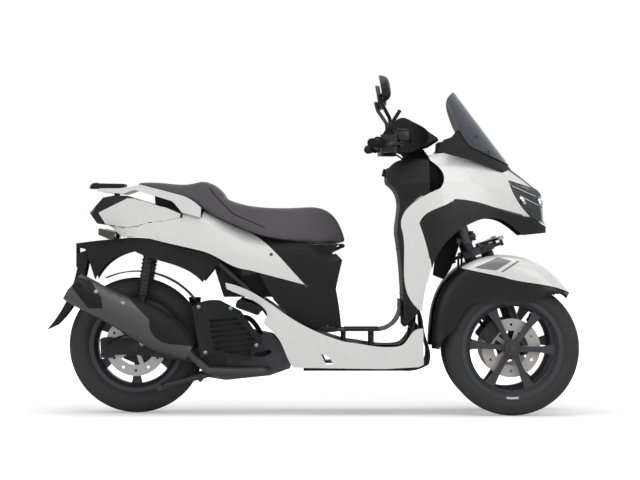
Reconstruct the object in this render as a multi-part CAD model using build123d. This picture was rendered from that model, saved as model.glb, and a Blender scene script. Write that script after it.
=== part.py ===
from build123d import *
import os
from math import cos, radians, sin, tan

os.makedirs("parts", exist_ok=True)

# Leaning three-wheel scooter: two steered front wheels, one driven rear wheel.
# Millimetres, +X forward, +Y to the rider's left, +Z up, ground at Z = 0.

# ---------------------------------------------------------------- driving sizes
WHEELBASE = 1410
REAR_AXLE_X = -662.5
FRONT_TRACK = 385
CASTER = 20
TRAIL = 68

FRONT_TYRE_R = 249.8
FRONT_TYRE_W = 90
FRONT_BEAD_R = 177.8
REAR_TYRE_R = 256
REAR_TYRE_W = 130
REAR_BEAD_R = 165.1
RIM_LIP = 12.5
RIM_WALL = 4

FRONT_DISC_R = 110
REAR_DISC_R = 115
DISC_T = 4.5
AXLE_R = 8

SKIN = 3
SEAM = 1.2
FIT = 0.3
RUN = 0.5

# ------------------------------------------------------- front suspension frame
FRONT_AXLE_X = REAR_AXLE_X + WHEELBASE
FRONT_AXLE_Z = FRONT_TYRE_R
REAR_AXLE_Z = REAR_TYRE_R
HALF_TRACK = FRONT_TRACK / 2
COLUMN_SETBACK = 68.3
STEER_ARM = 120
CROWN_H = 641
CROWN_T = 24
LOWER_ARM_H = CROWN_H + 61
UPPER_ARM_H = LOWER_ARM_H + 106
TIE_LIFT = 19
TIE_R = 5
TIE_PIN_R = 6
PIN_RISE = 36
FORK_INSET = 74.5
FORK_FRONT = 45
FORK_REAR = -22
STANCHION_R = 16.5
SLIDER_R = 21
STEM_R = 16
COLUMN_R = 13

RAKE = radians(CASTER)
AXIS_UP = Vector(-sin(RAKE), 0, cos(RAKE))
AXIS_AHEAD = Vector(cos(RAKE), 0, sin(RAKE))
KING_PIN_X = FRONT_AXLE_X + TRAIL
AXLE_LEAD = (FRONT_AXLE_X - KING_PIN_X) * cos(RAKE) + FRONT_AXLE_Z * sin(RAKE)
AXLE_H = (KING_PIN_X - FRONT_AXLE_X) * sin(RAKE) + FRONT_AXLE_Z * cos(RAKE)


# --------------------------------------------------------------------- helpers
def save(name, shape):
    """Write one node as parts/<name>.step."""
    export_step(Compound(shape.solids()), f"parts/{name}.step")


def both_sides(shape):
    """Right-hand piece and its mirror image, as one compound."""
    twin = mirror(shape, Plane.XZ)
    return Compound(list(shape.solids()) + list(twin.solids()))


def side_face(*runs, grow=0.0):
    """Face in the XZ plane. Each run carries on from the last: one point is a
    straight edge and more are a smooth curve. Straight outlines can be grown."""
    start = Vector(*runs[0][0])
    here = start
    edges = []
    for count, run in enumerate(runs):
        points = [Vector(x, z) for x, z in run]
        if count > 0:
            points = [here] + points
        if len(points) > 2:
            edges.append(Spline(*points))
        elif len(points) == 2:
            edges.append(Line(*points))
        here = points[-1]
    if (here - start).length > 0.01:
        edges.append(Line(here, start))
    face = make_face(edges)
    if grow:
        face = offset(face, amount=grow)
    return Rot(90, 0, 0) * face


def slab(face, y_from, y_to):
    """Side outline given thickness from one Y to another."""
    return extrude(Pos(0, y_to, 0) * face, amount=y_to - y_from, dir=(0, -1, 0))


def wide(face, half):
    """Side outline given the same thickness on both sides of the centre plane."""
    return slab(face, -half, half)


def plan_face(points):
    """Closed outline in the XY plane, mirrored about the centre line."""
    far = [(x, -y) for x, y in reversed(points)]
    return make_face(Polyline(*points, *far, close=True))


def rod(start, end, radius):
    """Round bar between two points."""
    start = Vector(start)
    run = Vector(end) - start
    plane = Plane(origin=start, z_dir=run)
    return extrude(plane * Circle(radius), amount=run.length)


def pipe(start, end, radius, bore):
    """Round tube between two points."""
    start = Vector(start)
    run = Vector(end) - start
    plane = Plane(origin=start, z_dir=run)
    return extrude(plane * (Circle(radius) - Circle(bore)), amount=run.length)


def bent_bar(points, radius, bend):
    """Round bar along straight runs joined by tangent arcs."""
    path = FilletPolyline(*points, radius=bend)
    start = path @ 0
    plane = Plane(origin=start, z_dir=path % 0)
    return sweep(plane * Circle(radius), path=path)


def local(ahead, height, y=0.0):
    """Point in the raked frame of the king pins: ahead of their axes and up them."""
    return Vector(KING_PIN_X, y, 0) + AXIS_AHEAD * ahead + AXIS_UP * height


def crown_section(x, half, foot, belt, shoulder, top, inset=0.0):
    """Body section across the vehicle: flat sole, swelling side, creased
    shoulder and a crown, all brought inwards by inset."""
    half = half - inset
    top = top - inset
    shoulder = shoulder - inset * 0.6
    right = [
        Vector(x, -0.88 * half, foot),
        Vector(x, -half, belt),
        Vector(x, -0.93 * half, shoulder),
        Vector(x, -0.50 * half, shoulder + 0.80 * (top - shoulder)),
        Vector(x, 0, top),
    ]
    left = [Vector(x, -p.Y, p.Z) for p in right]
    rise = (top - shoulder) / half
    edges = [
        Line(left[0], right[0]),
        Spline(right[0], right[1], tangents=[(0, -0.3, 1), (0, 0, 1)]),
        Spline(right[1], right[2], tangents=[(0, 0, 1), (0, 0.25, 1)]),
        Spline(right[2], right[3], right[4], tangents=[(0, 1, 2.6 * rise), (0, 1, 0)]),
        Spline(left[4], left[3], left[2], tangents=[(0, 1, 0), (0, 1, -2.6 * rise)]),
        Spline(left[2], left[1], tangents=[(0, 0.25, -1), (0, 0, -1)]),
        Spline(left[1], left[0], tangents=[(0, 0, -1), (0, -0.3, -1)]),
    ]
    return make_face(edges)


def skin_piece(solid, core, prism):
    """Part of a body's skin that lies inside a prism."""
    return (solid & prism) - core


def body_form(stations, inset=0.0):
    """Body blended through sections across the vehicle."""
    faces = [crown_section(*station, inset=inset) for station in stations]
    if inset:
        faces[0] = Pos(-inset, 0, 0) * faces[0]
        faces[-1] = Pos(inset, 0, 0) * faces[-1]
    return loft(faces)


# ---------------------------------------------------------------------- wheels
TYRE_FLATS = 72


def tyre(radius, width, bead, rim_half):
    """Tyre ring with bulged walls and a rounded crown, in fine flats."""
    depth = radius - bead
    foot = rim_half - FIT
    turn = 180 / TYRE_FLATS
    half = [
        (0.17 * width, radius),
        (0.34 * width, radius - 0.08 * depth),
        (0.46 * width, radius - 0.3 * depth),
        (0.5 * width, bead + 0.5 * depth),
        (foot, bead + RIM_LIP + 2),
    ]
    rings = [(-y, r) for y, r in reversed(half)] + half
    sections = []
    for y, r in rings:
        plane = Plane(origin=(0, y, 0), x_dir=(1, 0, 0), z_dir=(0, 1, 0))
        sections.append(plane * RegularPolygon(r, TYRE_FLATS, major_radius=False, rotation=turn))
    core = Plane(origin=(0, -width, 0), x_dir=(1, 0, 0), z_dir=(0, 1, 0))
    bore = extrude(core * RegularPolygon(bead, TYRE_FLATS, major_radius=False, rotation=turn), amount=2 * width)
    return loft(sections, ruled=True) - bore


def rim(bead, rim_half):
    """Rim ring with two lips, bead seats and a drop centre."""
    seat = bead - FIT
    lip = bead + RIM_LIP
    well = bead - 16
    skin = RIM_WALL
    outer = Polyline(
        (0, rim_half + skin, lip),
        (0, rim_half, lip),
        (0, rim_half, seat),
        (0, rim_half - 14, seat),
        (0, rim_half - 20, well),
        (0, 20 - rim_half, well),
        (0, 14 - rim_half, seat),
        (0, -rim_half, seat),
        (0, -rim_half, lip),
        (0, -rim_half - skin, lip),
        (0, -rim_half - skin, seat - skin),
        (0, 14 - rim_half, well - skin),
        (0, rim_half - 14, well - skin),
        (0, rim_half + skin, seat - skin),
        close=True,
    )
    return revolve(make_face(outer), Axis.Y, 360)


def spoke(root_r, tip_r, root_w, tip_w, root_d, tip_d):
    """One cast spoke along +X, wider at the rim, with a hollowed outer face."""
    foot = Plane((root_r, 0, 0), x_dir=(0, 1, 0), z_dir=(1, 0, 0))
    middle = Plane(((root_r + tip_r) / 2, 0, 0), x_dir=(0, 1, 0), z_dir=(1, 0, 0))
    head = Plane((tip_r, 0, 0), x_dir=(0, 1, 0), z_dir=(1, 0, 0))
    blade = loft([
        foot * Rectangle(root_d, root_w),
        middle * Rectangle(0.8 * root_d, 0.86 * root_w),
        head * Rectangle(tip_d, tip_w),
    ])
    return blade


def spoked_wheel(bead, rim_half, hub_r, hub_from, hub_to, angles):
    """Cast wheel: rim ring, hub with its bore, and spokes at the given angles."""
    wheel = rim(bead, rim_half)
    hub = slab(Plane.XZ * Circle(hub_r), hub_from, hub_to)
    inner_r = bead - 16 - RIM_WALL / 2
    one = spoke(hub_r - 6, inner_r, 24, 42, 30, 26)
    blades = [Rot(0, -angle, 0) * one for angle in angles]
    wheel = wheel + hub + blades
    bore = slab(Plane.XZ * Circle(AXLE_R + FIT), hub_from - 1, hub_to + 1)
    return wheel - bore


def brake_disc(radius, band, arms, bore):
    """Brake disc: a slotted band carried on arms from a centre ring."""
    band_in = radius - band
    ring = Circle(radius) - Circle(band_in)
    carrier = Circle(bore + 12) - Circle(bore)
    face = Plane.XZ * (ring + carrier)
    disc = slab(face, -DISC_T / 2, DISC_T / 2)
    for turn in range(arms):
        arm = Pos((bore + 10 + band_in + 3) / 2, 0, 0) * Box(band_in + 3 - bore - 10, DISC_T, 16)
        disc = disc + Rot(0, turn * 360 / arms, 0) * arm
    holes = 12
    for turn in range(holes):
        angle = turn * 360 / holes
        hole = Pos(radius - band / 2, 0, 0) * Rot(90, 0, 0) * Cylinder(5, DISC_T * 2)
        disc = disc - Rot(0, angle, 0) * hole
    return disc


FRONT_RIM_HALF = 31
REAR_RIM_HALF = 47
FRONT_SPOKES = [base + lean for base in (86, 206, 326) for lean in (-32, 32)]
REAR_SPOKES = [30 + 60 * turn for turn in range(6)]
DISC_INSET = 50
HUB_R = 32


def front_wheel(side):
    """Tyre, cast wheel and disc of one front wheel; side is -1 on the right."""
    name = "right" if side < 0 else "left"
    place = Pos(FRONT_AXLE_X, side * HALF_TRACK, FRONT_AXLE_Z)
    turn = Rot(0, 0, 0) if side < 0 else Rot(0, 0, 180)
    save(f"front_tyre_{name}", place * tyre(FRONT_TYRE_R, FRONT_TYRE_W, FRONT_BEAD_R, FRONT_RIM_HALF))
    hub_in = DISC_INSET - DISC_T / 2 - FIT
    wheel = spoked_wheel(FRONT_BEAD_R, FRONT_RIM_HALF, HUB_R, -28, hub_in, FRONT_SPOKES)
    cap = slab(Plane.XZ * Circle(30), -32, -28)
    wheel = wheel + cap
    save(f"front_wheel_{name}", place * turn * wheel)
    disc = Pos(0, DISC_INSET, 0) * brake_disc(FRONT_DISC_R, 45, 5, HUB_R - 14)
    save(f"front_disc_{name}", place * turn * disc)


def rear_wheel():
    """Tyre, cast wheel and disc of the rear wheel."""
    place = Pos(REAR_AXLE_X, 0, REAR_AXLE_Z)
    save("rear_tyre", place * tyre(REAR_TYRE_R, REAR_TYRE_W, REAR_BEAD_R, REAR_RIM_HALF))
    hub_out = -(REAR_DISC_Y - DISC_T / 2 - FIT)
    save("rear_wheel", place * spoked_wheel(REAR_BEAD_R, REAR_RIM_HALF, HUB_R, hub_out, 60, REAR_SPOKES))
    disc = Pos(0, -REAR_DISC_Y, 0) * brake_disc(REAR_DISC_R, 42, 5, HUB_R - 14)
    save("rear_disc", place * disc)


REAR_DISC_Y = 70

# ------------------------------------------------------------ front suspension
ARM_END = HALF_TRACK
PIN_R = 9
UPRIGHT_R = 20


def lean_linkage():
    """Two level arms on the head's pins, and an upright at each of their ends."""
    arms = []
    for height in (LOWER_ARM_H, UPPER_ARM_H):
        for face in (-1, 1):
            hub = [local(face * 30, height, y) for y in (-ARM_END, 0, ARM_END)]
            plane = Plane(origin=hub[1], x_dir=(0, 1, 0), z_dir=AXIS_AHEAD)
            plate = SlotCenterToCenter(2 * ARM_END, 36)
            arm = extrude(plane * plate, amount=4, both=True)
            slot = SlotCenterToCenter(ARM_END * 0.55, 16)
            for end in (-1, 1):
                window = plane * slot.moved(Location((end * ARM_END / 2, 0)))
                arm = arm - extrude(window, amount=9, both=True)
            for y in (-ARM_END, 0, ARM_END):
                hole = local(face * 30, height, y)
                arm = arm - rod(hole - AXIS_AHEAD * 8, hole + AXIS_AHEAD * 8, PIN_R + FIT)
            arms.append(arm)
    return arms


def linkage_pins(y):
    """Pins along the vehicle that join the arms at one Y."""
    pins = []
    for height in (LOWER_ARM_H, UPPER_ARM_H):
        back = local(-38, height, y)
        front = local(38, height, y)
        pins.append((back, front))
    return pins


def uprights():
    """Uprights between the arms' ends, bored for the fork stems."""
    pieces = []
    for y in (-HALF_TRACK, HALF_TRACK):
        low = local(0, LOWER_ARM_H - 20, y)
        high = local(0, UPPER_ARM_H + 20, y)
        body = rod(low, high, UPRIGHT_R)
        for back, front in linkage_pins(y):
            body = body + rod(back, front, PIN_R)
        body = body - rod(low - AXIS_UP, high + AXIS_UP, STEM_R + FIT)
        pieces.append(body)
    return pieces


def fork(side):
    """Stem, crown, two tubes, axle and brake caliper on one side."""
    y = side * HALF_TRACK
    inner_y = side * (HALF_TRACK - FORK_INSET)
    crown_low = CROWN_H - CROWN_T / 2
    stem_low = local(0, crown_low, y)
    stem_high = local(0, UPPER_ARM_H + 34, y)
    body = rod(stem_low, stem_high, STEM_R)
    plane = Plane(origin=local(0, CROWN_H), x_dir=AXIS_AHEAD, z_dir=AXIS_UP)
    rear_a = AXLE_LEAD + FORK_REAR
    front_a = AXLE_LEAD + FORK_FRONT
    corners = [
        (-30, y + side * 6),
        (4, y + side * 30),
        (34, y + side * 22),
        (front_a + 26, inner_y + side * 8),
        (front_a + 24, inner_y - side * 20),
        (rear_a - 24, inner_y - side * 22),
        (rear_a - 28, inner_y + side * 8),
    ]
    crown = extrude(plane * make_face(Polyline(*corners, close=True)), amount=CROWN_T / 2, both=True)
    crown = fillet(crown.edges().filter_by(Axis(stem_low, AXIS_UP)), 7)
    body = body + crown
    arm = make_face(Polyline((10, y - 16), (STEER_ARM, y - 12), (STEER_ARM, y + 12), (10, y + 16), close=True))
    body = body + extrude(plane * arm, amount=6, both=True)
    pin = local(STEER_ARM, CROWN_H - 10, y)
    body = body + rod(pin, pin + AXIS_UP * PIN_RISE, TIE_PIN_R)
    for lead in (rear_a, front_a):
        foot = local(lead, AXLE_H - 40, inner_y)
        knee = local(lead, AXLE_H + 190, inner_y)
        head = local(lead, CROWN_H + CROWN_T / 2 - 1, inner_y)
        body = body + rod(knee - AXIS_UP * 10, head, STANCHION_R)
        body = body + rod(foot, knee, SLIDER_R)
    over_fender = place_fender(fender_form(2 * FIT + CAP_T), side)
    for lead, height in ((rear_a, 590), (front_a, 572)):
        root = local(lead, height, inner_y)
        body = body + (rod(root, root + Vector(0, side * 36, 0), 9) - over_fender)
    bridge_low = local(AXLE_LEAD, AXLE_H, inner_y)
    lug = rod(bridge_low - Vector(0, side * 22, 0), bridge_low + Vector(0, side * 17, 0), 27)
    body = body + lug
    axle_end = Vector(FRONT_AXLE_X, y + side * 26, FRONT_AXLE_Z)
    body = body + rod(bridge_low, axle_end, AXLE_R)
    wheel_centre = Vector(FRONT_AXLE_X, 0, FRONT_AXLE_Z)
    grip = caliper(wheel_centre, side * (HALF_TRACK - DISC_INSET), 142, 98, FRONT_DISC_R)
    body = body + grip
    return body


def caliper(centre, disc_y, angle, reach, disc_r):
    """Brake caliper gripping the disc edge, turned about the axle by angle."""
    block = Pos(reach, 0, 0) * Box(52, 40, 78)
    block = fillet(block.edges().filter_by(Axis.Y), 12)
    slot = Pos(disc_r / 2, 0, 0) * Box(disc_r + 8, DISC_T + 3, 200)
    return Pos(centre.X, disc_y, centre.Z) * Rot(0, -angle, 0) * (block - slot)


# -------------------------------------------------------------- front fenders
FENDER_IN = 49
CAP_T = 2.5


def fender_section(angle, crown_r, low_out, low_in, half_out, lift):
    """Arched section of a fender in the plane through the axle at an angle."""
    turn = radians(angle)
    spine = Vector(cos(turn), 0, sin(turn))
    top = crown_r + lift
    inner = FENDER_IN + lift
    outer = half_out + lift
    drop = top - low_out
    points = [
        (-inner, top - low_in),
        (-0.86 * inner, top - 14),
        (0, top),
        (0.78 * outer, top - 15),
        (outer, top - 0.6 * drop),
        (0.985 * outer, low_out),
    ]
    at = [Vector(0, -y, 0) + spine * r for y, r in points]
    return make_face([Spline(*at), Line(at[-1], at[0])])


def fender_form(lift):
    """Outer form of a fender around its own axle, raised by lift."""
    rows = [
        (44, 297, 270, 18, 58),
        (56, 305, 240, 28, 64),
        (72, 326, 180, 40, 70),
        (92, 345, 164, 50, 70),
        (112, 355, 186, 60, 70),
        (128, 352, 218, 60, 68),
        (145, 334, 228, 50, 64),
        (163, 309, 233, 36, 60),
        (180, 299, 272, 20, 54),
    ]
    return loft([fender_section(*row, lift) for row in rows])


def fender(side):
    """Black arched fender over one front wheel."""
    shell = fender_form(0) - fender_form(-SKIN)
    return place_fender(shell, side)


def fender_cap(side):
    """White upper cover that lies on the black fender."""
    shell = fender_form(FIT + CAP_T) - fender_form(FIT)
    face = side_face(
        [(-188, 299)],
        [(-188, 380)],
        [(240, 380)],
        [(216, 206)],
        [(120, 237), (55, 247), (-40, 268)],
        [(-188, 299)],
    )
    return place_fender(shell & wide(face, 200), side)


def place_fender(shape, side):
    """Set a fender piece over its wheel."""
    if side > 0:
        shape = mirror(shape, Plane.XZ)
    return Pos(FRONT_AXLE_X, side * HALF_TRACK, FRONT_AXLE_Z) * shape


# ---------------------------------------------------------------- front bodywork
COWL_HALF = 236
NOSE_HALF = 36
NOSE_X = 899


def cowl_half(x):
    """Half width of the front body at X, blunt at the nose."""
    reach = min(1.0, max(0.0, (x - 450) / (NOSE_X - 450)))
    return NOSE_HALF + (COWL_HALF - NOSE_HALF) * (1 - reach**1.6) ** 0.6


# X, foot, belt, shoulder crease and crown heights of the front body
FRONT_STATIONS = [
    (272, 330, 630, 856, 945),
    (340, 330, 640, 864, 966),
    (400, 335, 650, 868, 985),
    (470, 345, 660, 872, 1003),
    (540, 380, 670, 870, 1006),
    (610, 420, 680, 863, 993),
    (680, 460, 685, 848, 970),
    (740, 510, 690, 826, 932),
    (795, 550, 690, 790, 892),
    (850, 590, 690, 765, 850),
    (899, 620, 690, 750, 815),
]


def front_stations():
    """Sections of the front body with the half width worked out."""
    return [(x, cowl_half(x), foot, belt, sh, top) for x, foot, belt, sh, top in FRONT_STATIONS]


NOSE_LINE = side_face(
    [(300, 300)],
    [(300, 1100)],
    [(780, 1100)],
    [(790, 894)],
    [(839, 852)],
    [(857, 842), (872, 779), (881, 712)],
    [(898, 684)],
    [(884, 676)],
    [(791, 662)],
    [(700, 600)],
    [(640, 300)],
)

ARCH_FRONT = [(605, 721), (655, 735), (705, 731), (748, 708), (791, 672)]
COWL_LOW = [(676, 778), (576, 803), (534, 807)]
STRIP_FRONT = [(401, 715), (416, 672), (445, 548)]
LAMP_REAR = [(738, 879), (777, 792), (820, 742)]

front_solid = body_form(front_stations()) & wide(NOSE_LINE, 300)
front_core = body_form(front_stations(), SKIN)


def centre_strip(extra):
    """Plan outline of the black strip along the crown, widened by extra."""
    points = [(300, 118), (520, 112), (640, 92), (740, 70), (800, 56), (905, 40)]
    wider = [(x, y + extra) for x, y in points]
    return extrude(plan_face(wider), amount=1300)


def front_cowls():
    """White side panels: cowl, neck and the strip that runs down the leg shield."""
    face = side_face(
        [(415, 1020)],
        [(445, 952)],
        [(492, 870), (479, 846)],
        [(366, 781), (336, 737), (334, 699)],
        [(344, 572), (352, 469), (412, 387)],
        [(426, 480), (445, 548)],
        list(reversed(STRIP_FRONT[:-1])),
        [(412, 737), (475, 775), (534, 807)],
        list(reversed(COWL_LOW[:-1])),
        [(820, 742)],
        list(reversed(LAMP_REAR[:-1])),
        [(839, 850)],
        [(839, 1020)],
    )
    panel = skin_piece(front_solid, front_core, slab(face, -300, 0))
    return panel - centre_strip(SEAM)


def nose_cowl():
    """Black strip along the crown from the screen down to the beak."""
    face = side_face(
        [(640, 1020)],
        [(640, 900)],
        [(839, 830)],
        [(845, 700)],
        [(880, 655)],
        [(920, 660)],
        [(920, 1020)],
    )
    return skin_piece(front_solid, front_core, wide(face, 300) & centre_strip(0))


def arch_cowls():
    """Black panels under the white cowl, arched over the wheel linkage."""
    face = side_face(
        [(448, 548)],
        [(476, 613), (534, 678), (605, 721)],
        ARCH_FRONT[1:],
        [(884, 681)],
        [(884, 705)],
        [(821, 739)],
        [(676, 776), (576, 801), (534, 805)],
        [(476, 773), (414, 736), (403, 715)],
        [(418, 672), (447, 548)],
    )
    panel = skin_piece(front_solid, front_core, slab(face, -300, 0))
    return panel - centre_strip(SEAM)


def headlamp_lenses():
    """Clear covers of the twin headlamps, flush with the cowl."""
    face = side_face(
        [(740, 878)],
        [(779, 793), (822, 743)],
        [(883, 709)],
        [(874, 779), (856, 843)],
        [(838, 849)],
    )
    panel = skin_piece(front_solid, front_core, slab(face, -300, 0))
    return panel - centre_strip(SEAM)


def headlamp_buckets():
    """Dark housings that stand behind the headlamp covers."""
    face = side_face(
        [(752, 868)],
        [(786, 798), (826, 750)],
        [(868, 722)],
        [(862, 780), (848, 834)],
    )
    mouth = side_face(
        [(759, 862)],
        [(790, 801), (829, 754)],
        [(862, 728)],
        [(857, 780), (844, 829)],
    )
    near = body_form(front_stations(), SKIN + FIT) & wide(NOSE_LINE, 300)
    cup = (near & slab(face, -300, -20)) - body_form(front_stations(), SKIN + 28)
    hollow = slab(mouth, -300, -20) - body_form(front_stations(), SKIN + 24)
    return cup - hollow


# ------------------------------------------------------------------ wind screen
SCREEN_FOOT = (751, 936)
SCREEN_TOP = (541, 1215)
SCREEN_R = 185
SCREEN_T = 4


def screen_tube(outer, inner):
    """Part-round wall that follows the rake of the screen."""
    foot = Vector(SCREEN_FOOT[0], 0, SCREEN_FOOT[1])
    head = Vector(SCREEN_TOP[0], 0, SCREEN_TOP[1])
    rise = (head - foot).normalized()
    back = Vector(-rise.Z, 0, rise.X)
    centre = foot + back * SCREEN_R
    return pipe(centre - rise * 160, centre + rise * 520, outer, inner)


def windscreen():
    """Smoked screen, rounded in plan, with swept side edges."""
    face = side_face(
        [(751, 936)],
        [(541, 1215)],
        [(522, 1200), (516, 1172), (521, 1146)],
        [(551, 1070), (590, 1006)],
    )
    return screen_tube(SCREEN_R, SCREEN_R - SCREEN_T) & wide(face, 300)


def screen_surround():
    """Black apron that carries the screen and meets the cowl."""
    face = side_face(
        [(760, 925)],
        [(700, 990)],
        [(600, 1032), (561, 1076)],
        [(529, 1040)],
        [(493, 1028)],
        [(470, 985)],
        [(600, 950)],
        [(720, 905)],
    )
    wall = screen_tube(SCREEN_R - SCREEN_T - FIT, SCREEN_R - SCREEN_T - FIT - 5) & wide(face, 300)
    return wall - body_form(front_stations(), -FIT)


# ------------------------------------------------------------------- leg shield
SHIELD_WALL = 3


def leg_shield():
    """Black inner wall in front of the rider's knees, open towards the front."""
    outer = side_face(
        [(420, 958)],
        [(345, 958), (305, 940), (283, 907), (284, 868)],
        [(328, 792), (324, 742), (321, 663)],
        [(331, 592), (341, 431)],
        [(344, 322)],
        [(402, 390)],
        [(349, 469), (341, 572), (331, 699)],
        [(333, 737), (363, 783), (440, 832)],
        [(440, 950)],
    )
    inner = side_face(
        [(410, 954)],
        [(350, 954), (310, 936), (288, 905), (290, 870)],
        [(334, 792), (330, 742), (327, 663)],
        [(337, 592), (347, 431)],
        [(350, 300)],
        [(500, 300)],
        [(500, 954)],
    )
    near = body_form(front_stations(), SKIN + FIT)
    deep = body_form(front_stations(), SKIN + FIT + SHIELD_WALL)
    wall = (wide(outer, 300) & near) - (wide(inner, 300) & deep)
    column = rod(local(-COLUMN_SETBACK, 880), local(-COLUMN_SETBACK, 1125), HEAD_R + FIT)
    return wall - column


# ----------------------------------------------------------------- lower body
FLOOR_Z = 318
FLOOR_T = 4
TRAY_Z = 170
BOX_LOW = 440
FLOOR_HALF = 205

SKIRT_TOP = [(-322, 494), (-240, 468), (-162, 423), (-83, 368), (10, 317), (131, 274)]
SKIRT_STEP = [(131, 274), (226, 260), (300, 256), (340, 265), (378, 312), (416, 324)]
SKIRT_REAR = [(-68, 178), (-95, 229), (-117, 278), (-150, 317), (-182, 346)]
SKIRT_HOOK = [(-182, 346), (-165, 377), (-208, 423), (-284, 457), (-318, 472)]


def belly_form(inset):
    """Swelling lower body between the leg shield and the engine."""
    stations = [
        (-330, 150, 420, 168),
        (-200, 172, 330, 188),
        (-60, 192, 250, 204),
        (120, 206, 240, 214),
        (300, 210, 240, 218),
        (420, 206, 240, 216),
    ]
    faces = []
    for x, sole, belt, half in stations:
        sole = sole - inset
        half = half - inset
        right = [Vector(x, -sole, 150), Vector(x, -half, belt), Vector(x, -half + 16, 520)]
        left = [Vector(x, -p.Y, p.Z) for p in reversed(right)]
        edges = [Spline(*right), Line(right[-1], left[0]), Spline(*left), Line(left[-1], right[0])]
        faces.append(make_face(edges))
    return loft(faces)


belly_solid = belly_form(0)
belly_core = belly_form(SKIN)


def side_skirts():
    """White lower panels from the leg shield's foot up under the seat."""
    face = side_face(
        [SKIRT_TOP[0]],
        SKIRT_TOP[1:],
        SKIRT_STEP[1:],
        [(418, 190)],
        [(400, 181)],
        [(274, 174)],
        [SKIRT_REAR[0]],
        SKIRT_REAR[1:],
        SKIRT_HOOK[1:],
    )
    slot = side_face([(36, 229), (50, 226), (64, 219)], [(83, 193)], [(54, 191)])
    panel = skin_piece(belly_solid, belly_core, slab(face, -300, 0))
    return panel - slab(slot, -300, 0)


def floor_board():
    """Footboards with a raised rib each side and a central tunnel."""
    step = side_face(
        [(-96, 372)],
        [(10, FLOOR_Z + 2), (100, FLOOR_Z)],
        [(235, FLOOR_Z)],
        [(300, FLOOR_Z + 16), (335, 385)],
        [(335, 430)],
        [(331, 430)],
        [(331, 388)],
        [(296, FLOOR_Z + 19 - 6), (235, FLOOR_Z - FLOOR_T)],
        [(100, FLOOR_Z - FLOOR_T)],
        [(8, FLOOR_Z - 3), (-98, 366)],
    )
    return wide(step, FLOOR_HALF) & belly_form(SKIN + FIT)


def under_cowl():
    """Black nose of the lower body, behind the front wheels, and belly tray."""
    outer = side_face(
        [(404, 392)],
        [(414, 360), (424, 300), (442, 240), (438, 190)],
        [(400, 172), (340, 166)],
        [(-30, 166)],
        [(-30, TRAY_Z)],
        [(340, TRAY_Z)],
        [(396, 178), (432, 194)],
        [(437, 240), (419, 300), (409, 360)],
        [(400, 380)],
    )
    return wide(outer, FLOOR_HALF - 18)


# ------------------------------------------------------------- seat and tail
REAR_STATIONS = [
    (-812, 84, 640, 730, 770, 800),
    (-740, 112, 600, 700, 770, 830),
    (-650, 140, 560, 680, 775, 850),
    (-540, 160, 520, 650, 755, 835),
    (-410, 176, 440, 620, 725, 800),
    (-270, 184, 330, 600, 655, 730),
    (-140, 182, 300, 560, 620, 690),
    (0, 172, 280, 500, 610, 660),
    (118, 150, 280, 480, 590, 650),
]

rear_solid = body_form(REAR_STATIONS)
rear_core = body_form(REAR_STATIONS, SKIN)

TAIL_LOW = [(-707, 663), (-666, 667), (-541, 643), (-361, 594), (-299, 560), (-237, 545)]
COWL_TOP = [(-402, 768), (-294, 718), (-189, 656), (-84, 553), (-24, 487)]


SEAT_GAP = 4
COWL_FACE = [
    [(-402, 768)],
    COWL_TOP[1:],
    [(-237, 543)],
    list(reversed(TAIL_LOW[:-1])),
    [(-776, 722)],
    [(-801, 740)],
    [(-743, 766)],
    [(-673, 812)],
    [(-484, 755), (-412, 736)],
]


def seat_room():
    """Space that the cushion needs, a gap below it."""
    return Pos(0, 0, -SEAT_GAP) * wide(seat_side(), 260)


def rear_cowls():
    """White tail side panels that taper forward under the seat."""
    panel = skin_piece(rear_solid, rear_core, slab(side_face(*COWL_FACE), -300, -90))
    return panel - seat_room()


def seat_side_covers():
    """Black panels below the seat's nose, down to the footboards."""
    face = side_face(
        [(-260, 660)],
        [(-260, 520)],
        [(-196, 530)],
        [(-140, 430)],
        [(-83, 374), (10, 326)],
        [(112, 326)],
        [(104, 400), (92, 470)],
        [(104, 530), (116, 578)],
        [(90, 606)],
        [(92, 630)],
    )
    panel = skin_piece(rear_solid, rear_core, slab(face, -300, -112))
    cowl = slab(side_face(*COWL_FACE), -300, 0)
    return panel - cowl - Pos(SEAM, 0, SEAM) * cowl - seat_room()


TAIL_FACE = [
    [(-480, 720)],
    [(-484, 757)],
    [(-673, 814)],
    [(-690, 820)],
    [(-738, 822)],
    [(-784, 814)],
    [(-837, 756)],
    [(-807, 716)],
    [(-700, 700)],
]


def tail_form(inset):
    """Blunt black end of the tail between the white panels."""
    stations = [(-838, 70), (-800, 92), (-700, 128), (-600, 148), (-470, 158)]
    edge = [(x, half - inset) for x, half in stations]
    plan = make_face([
        Spline(*[Vector(x, y) for x, y in edge]),
        Line(edge[-1], (edge[-1][0], -edge[-1][1])),
        Spline(*[Vector(x, -y) for x, y in reversed(edge)]),
        Line((edge[0][0], -edge[0][1]), edge[0]),
    ])
    return extrude(plan, amount=1000)


LAMP_FACE = [[(-800, 792)], [(-860, 792)], [(-860, 716)], [(-818, 716)], [(-828, 752)]]


def tail_cover():
    """Black end of the tail with the lamp's seat, hollow inside."""
    block = wide(side_face(*TAIL_FACE), 200) & tail_form(0)
    core = wide(side_face(*TAIL_FACE, grow=-SKIN), 200) & tail_form(SKIN)
    panels = slab(side_face(*COWL_FACE), -300, 300)
    opening = wide(side_face([(-470, 690)], [(-470, 753)], [(-500, 753)], [(-500, 690)]), 130)
    shell = block - core - wide(side_face(*LAMP_FACE), 84) - opening
    box_room = wide(side_face([(-596, 900)], [(-588, 712)], [(-470, 676)], [(-470, 900)]), BOX_HALF + SEAM)
    return shell - (rear_solid & panels) - box_room - seat_room()


def rear_lamps():
    """Tail lamp lens set into the end of the tail."""
    block = wide(side_face(*TAIL_FACE), 200) & tail_form(0)
    return block & wide(side_face(*LAMP_FACE), 84 - FIT)


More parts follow.
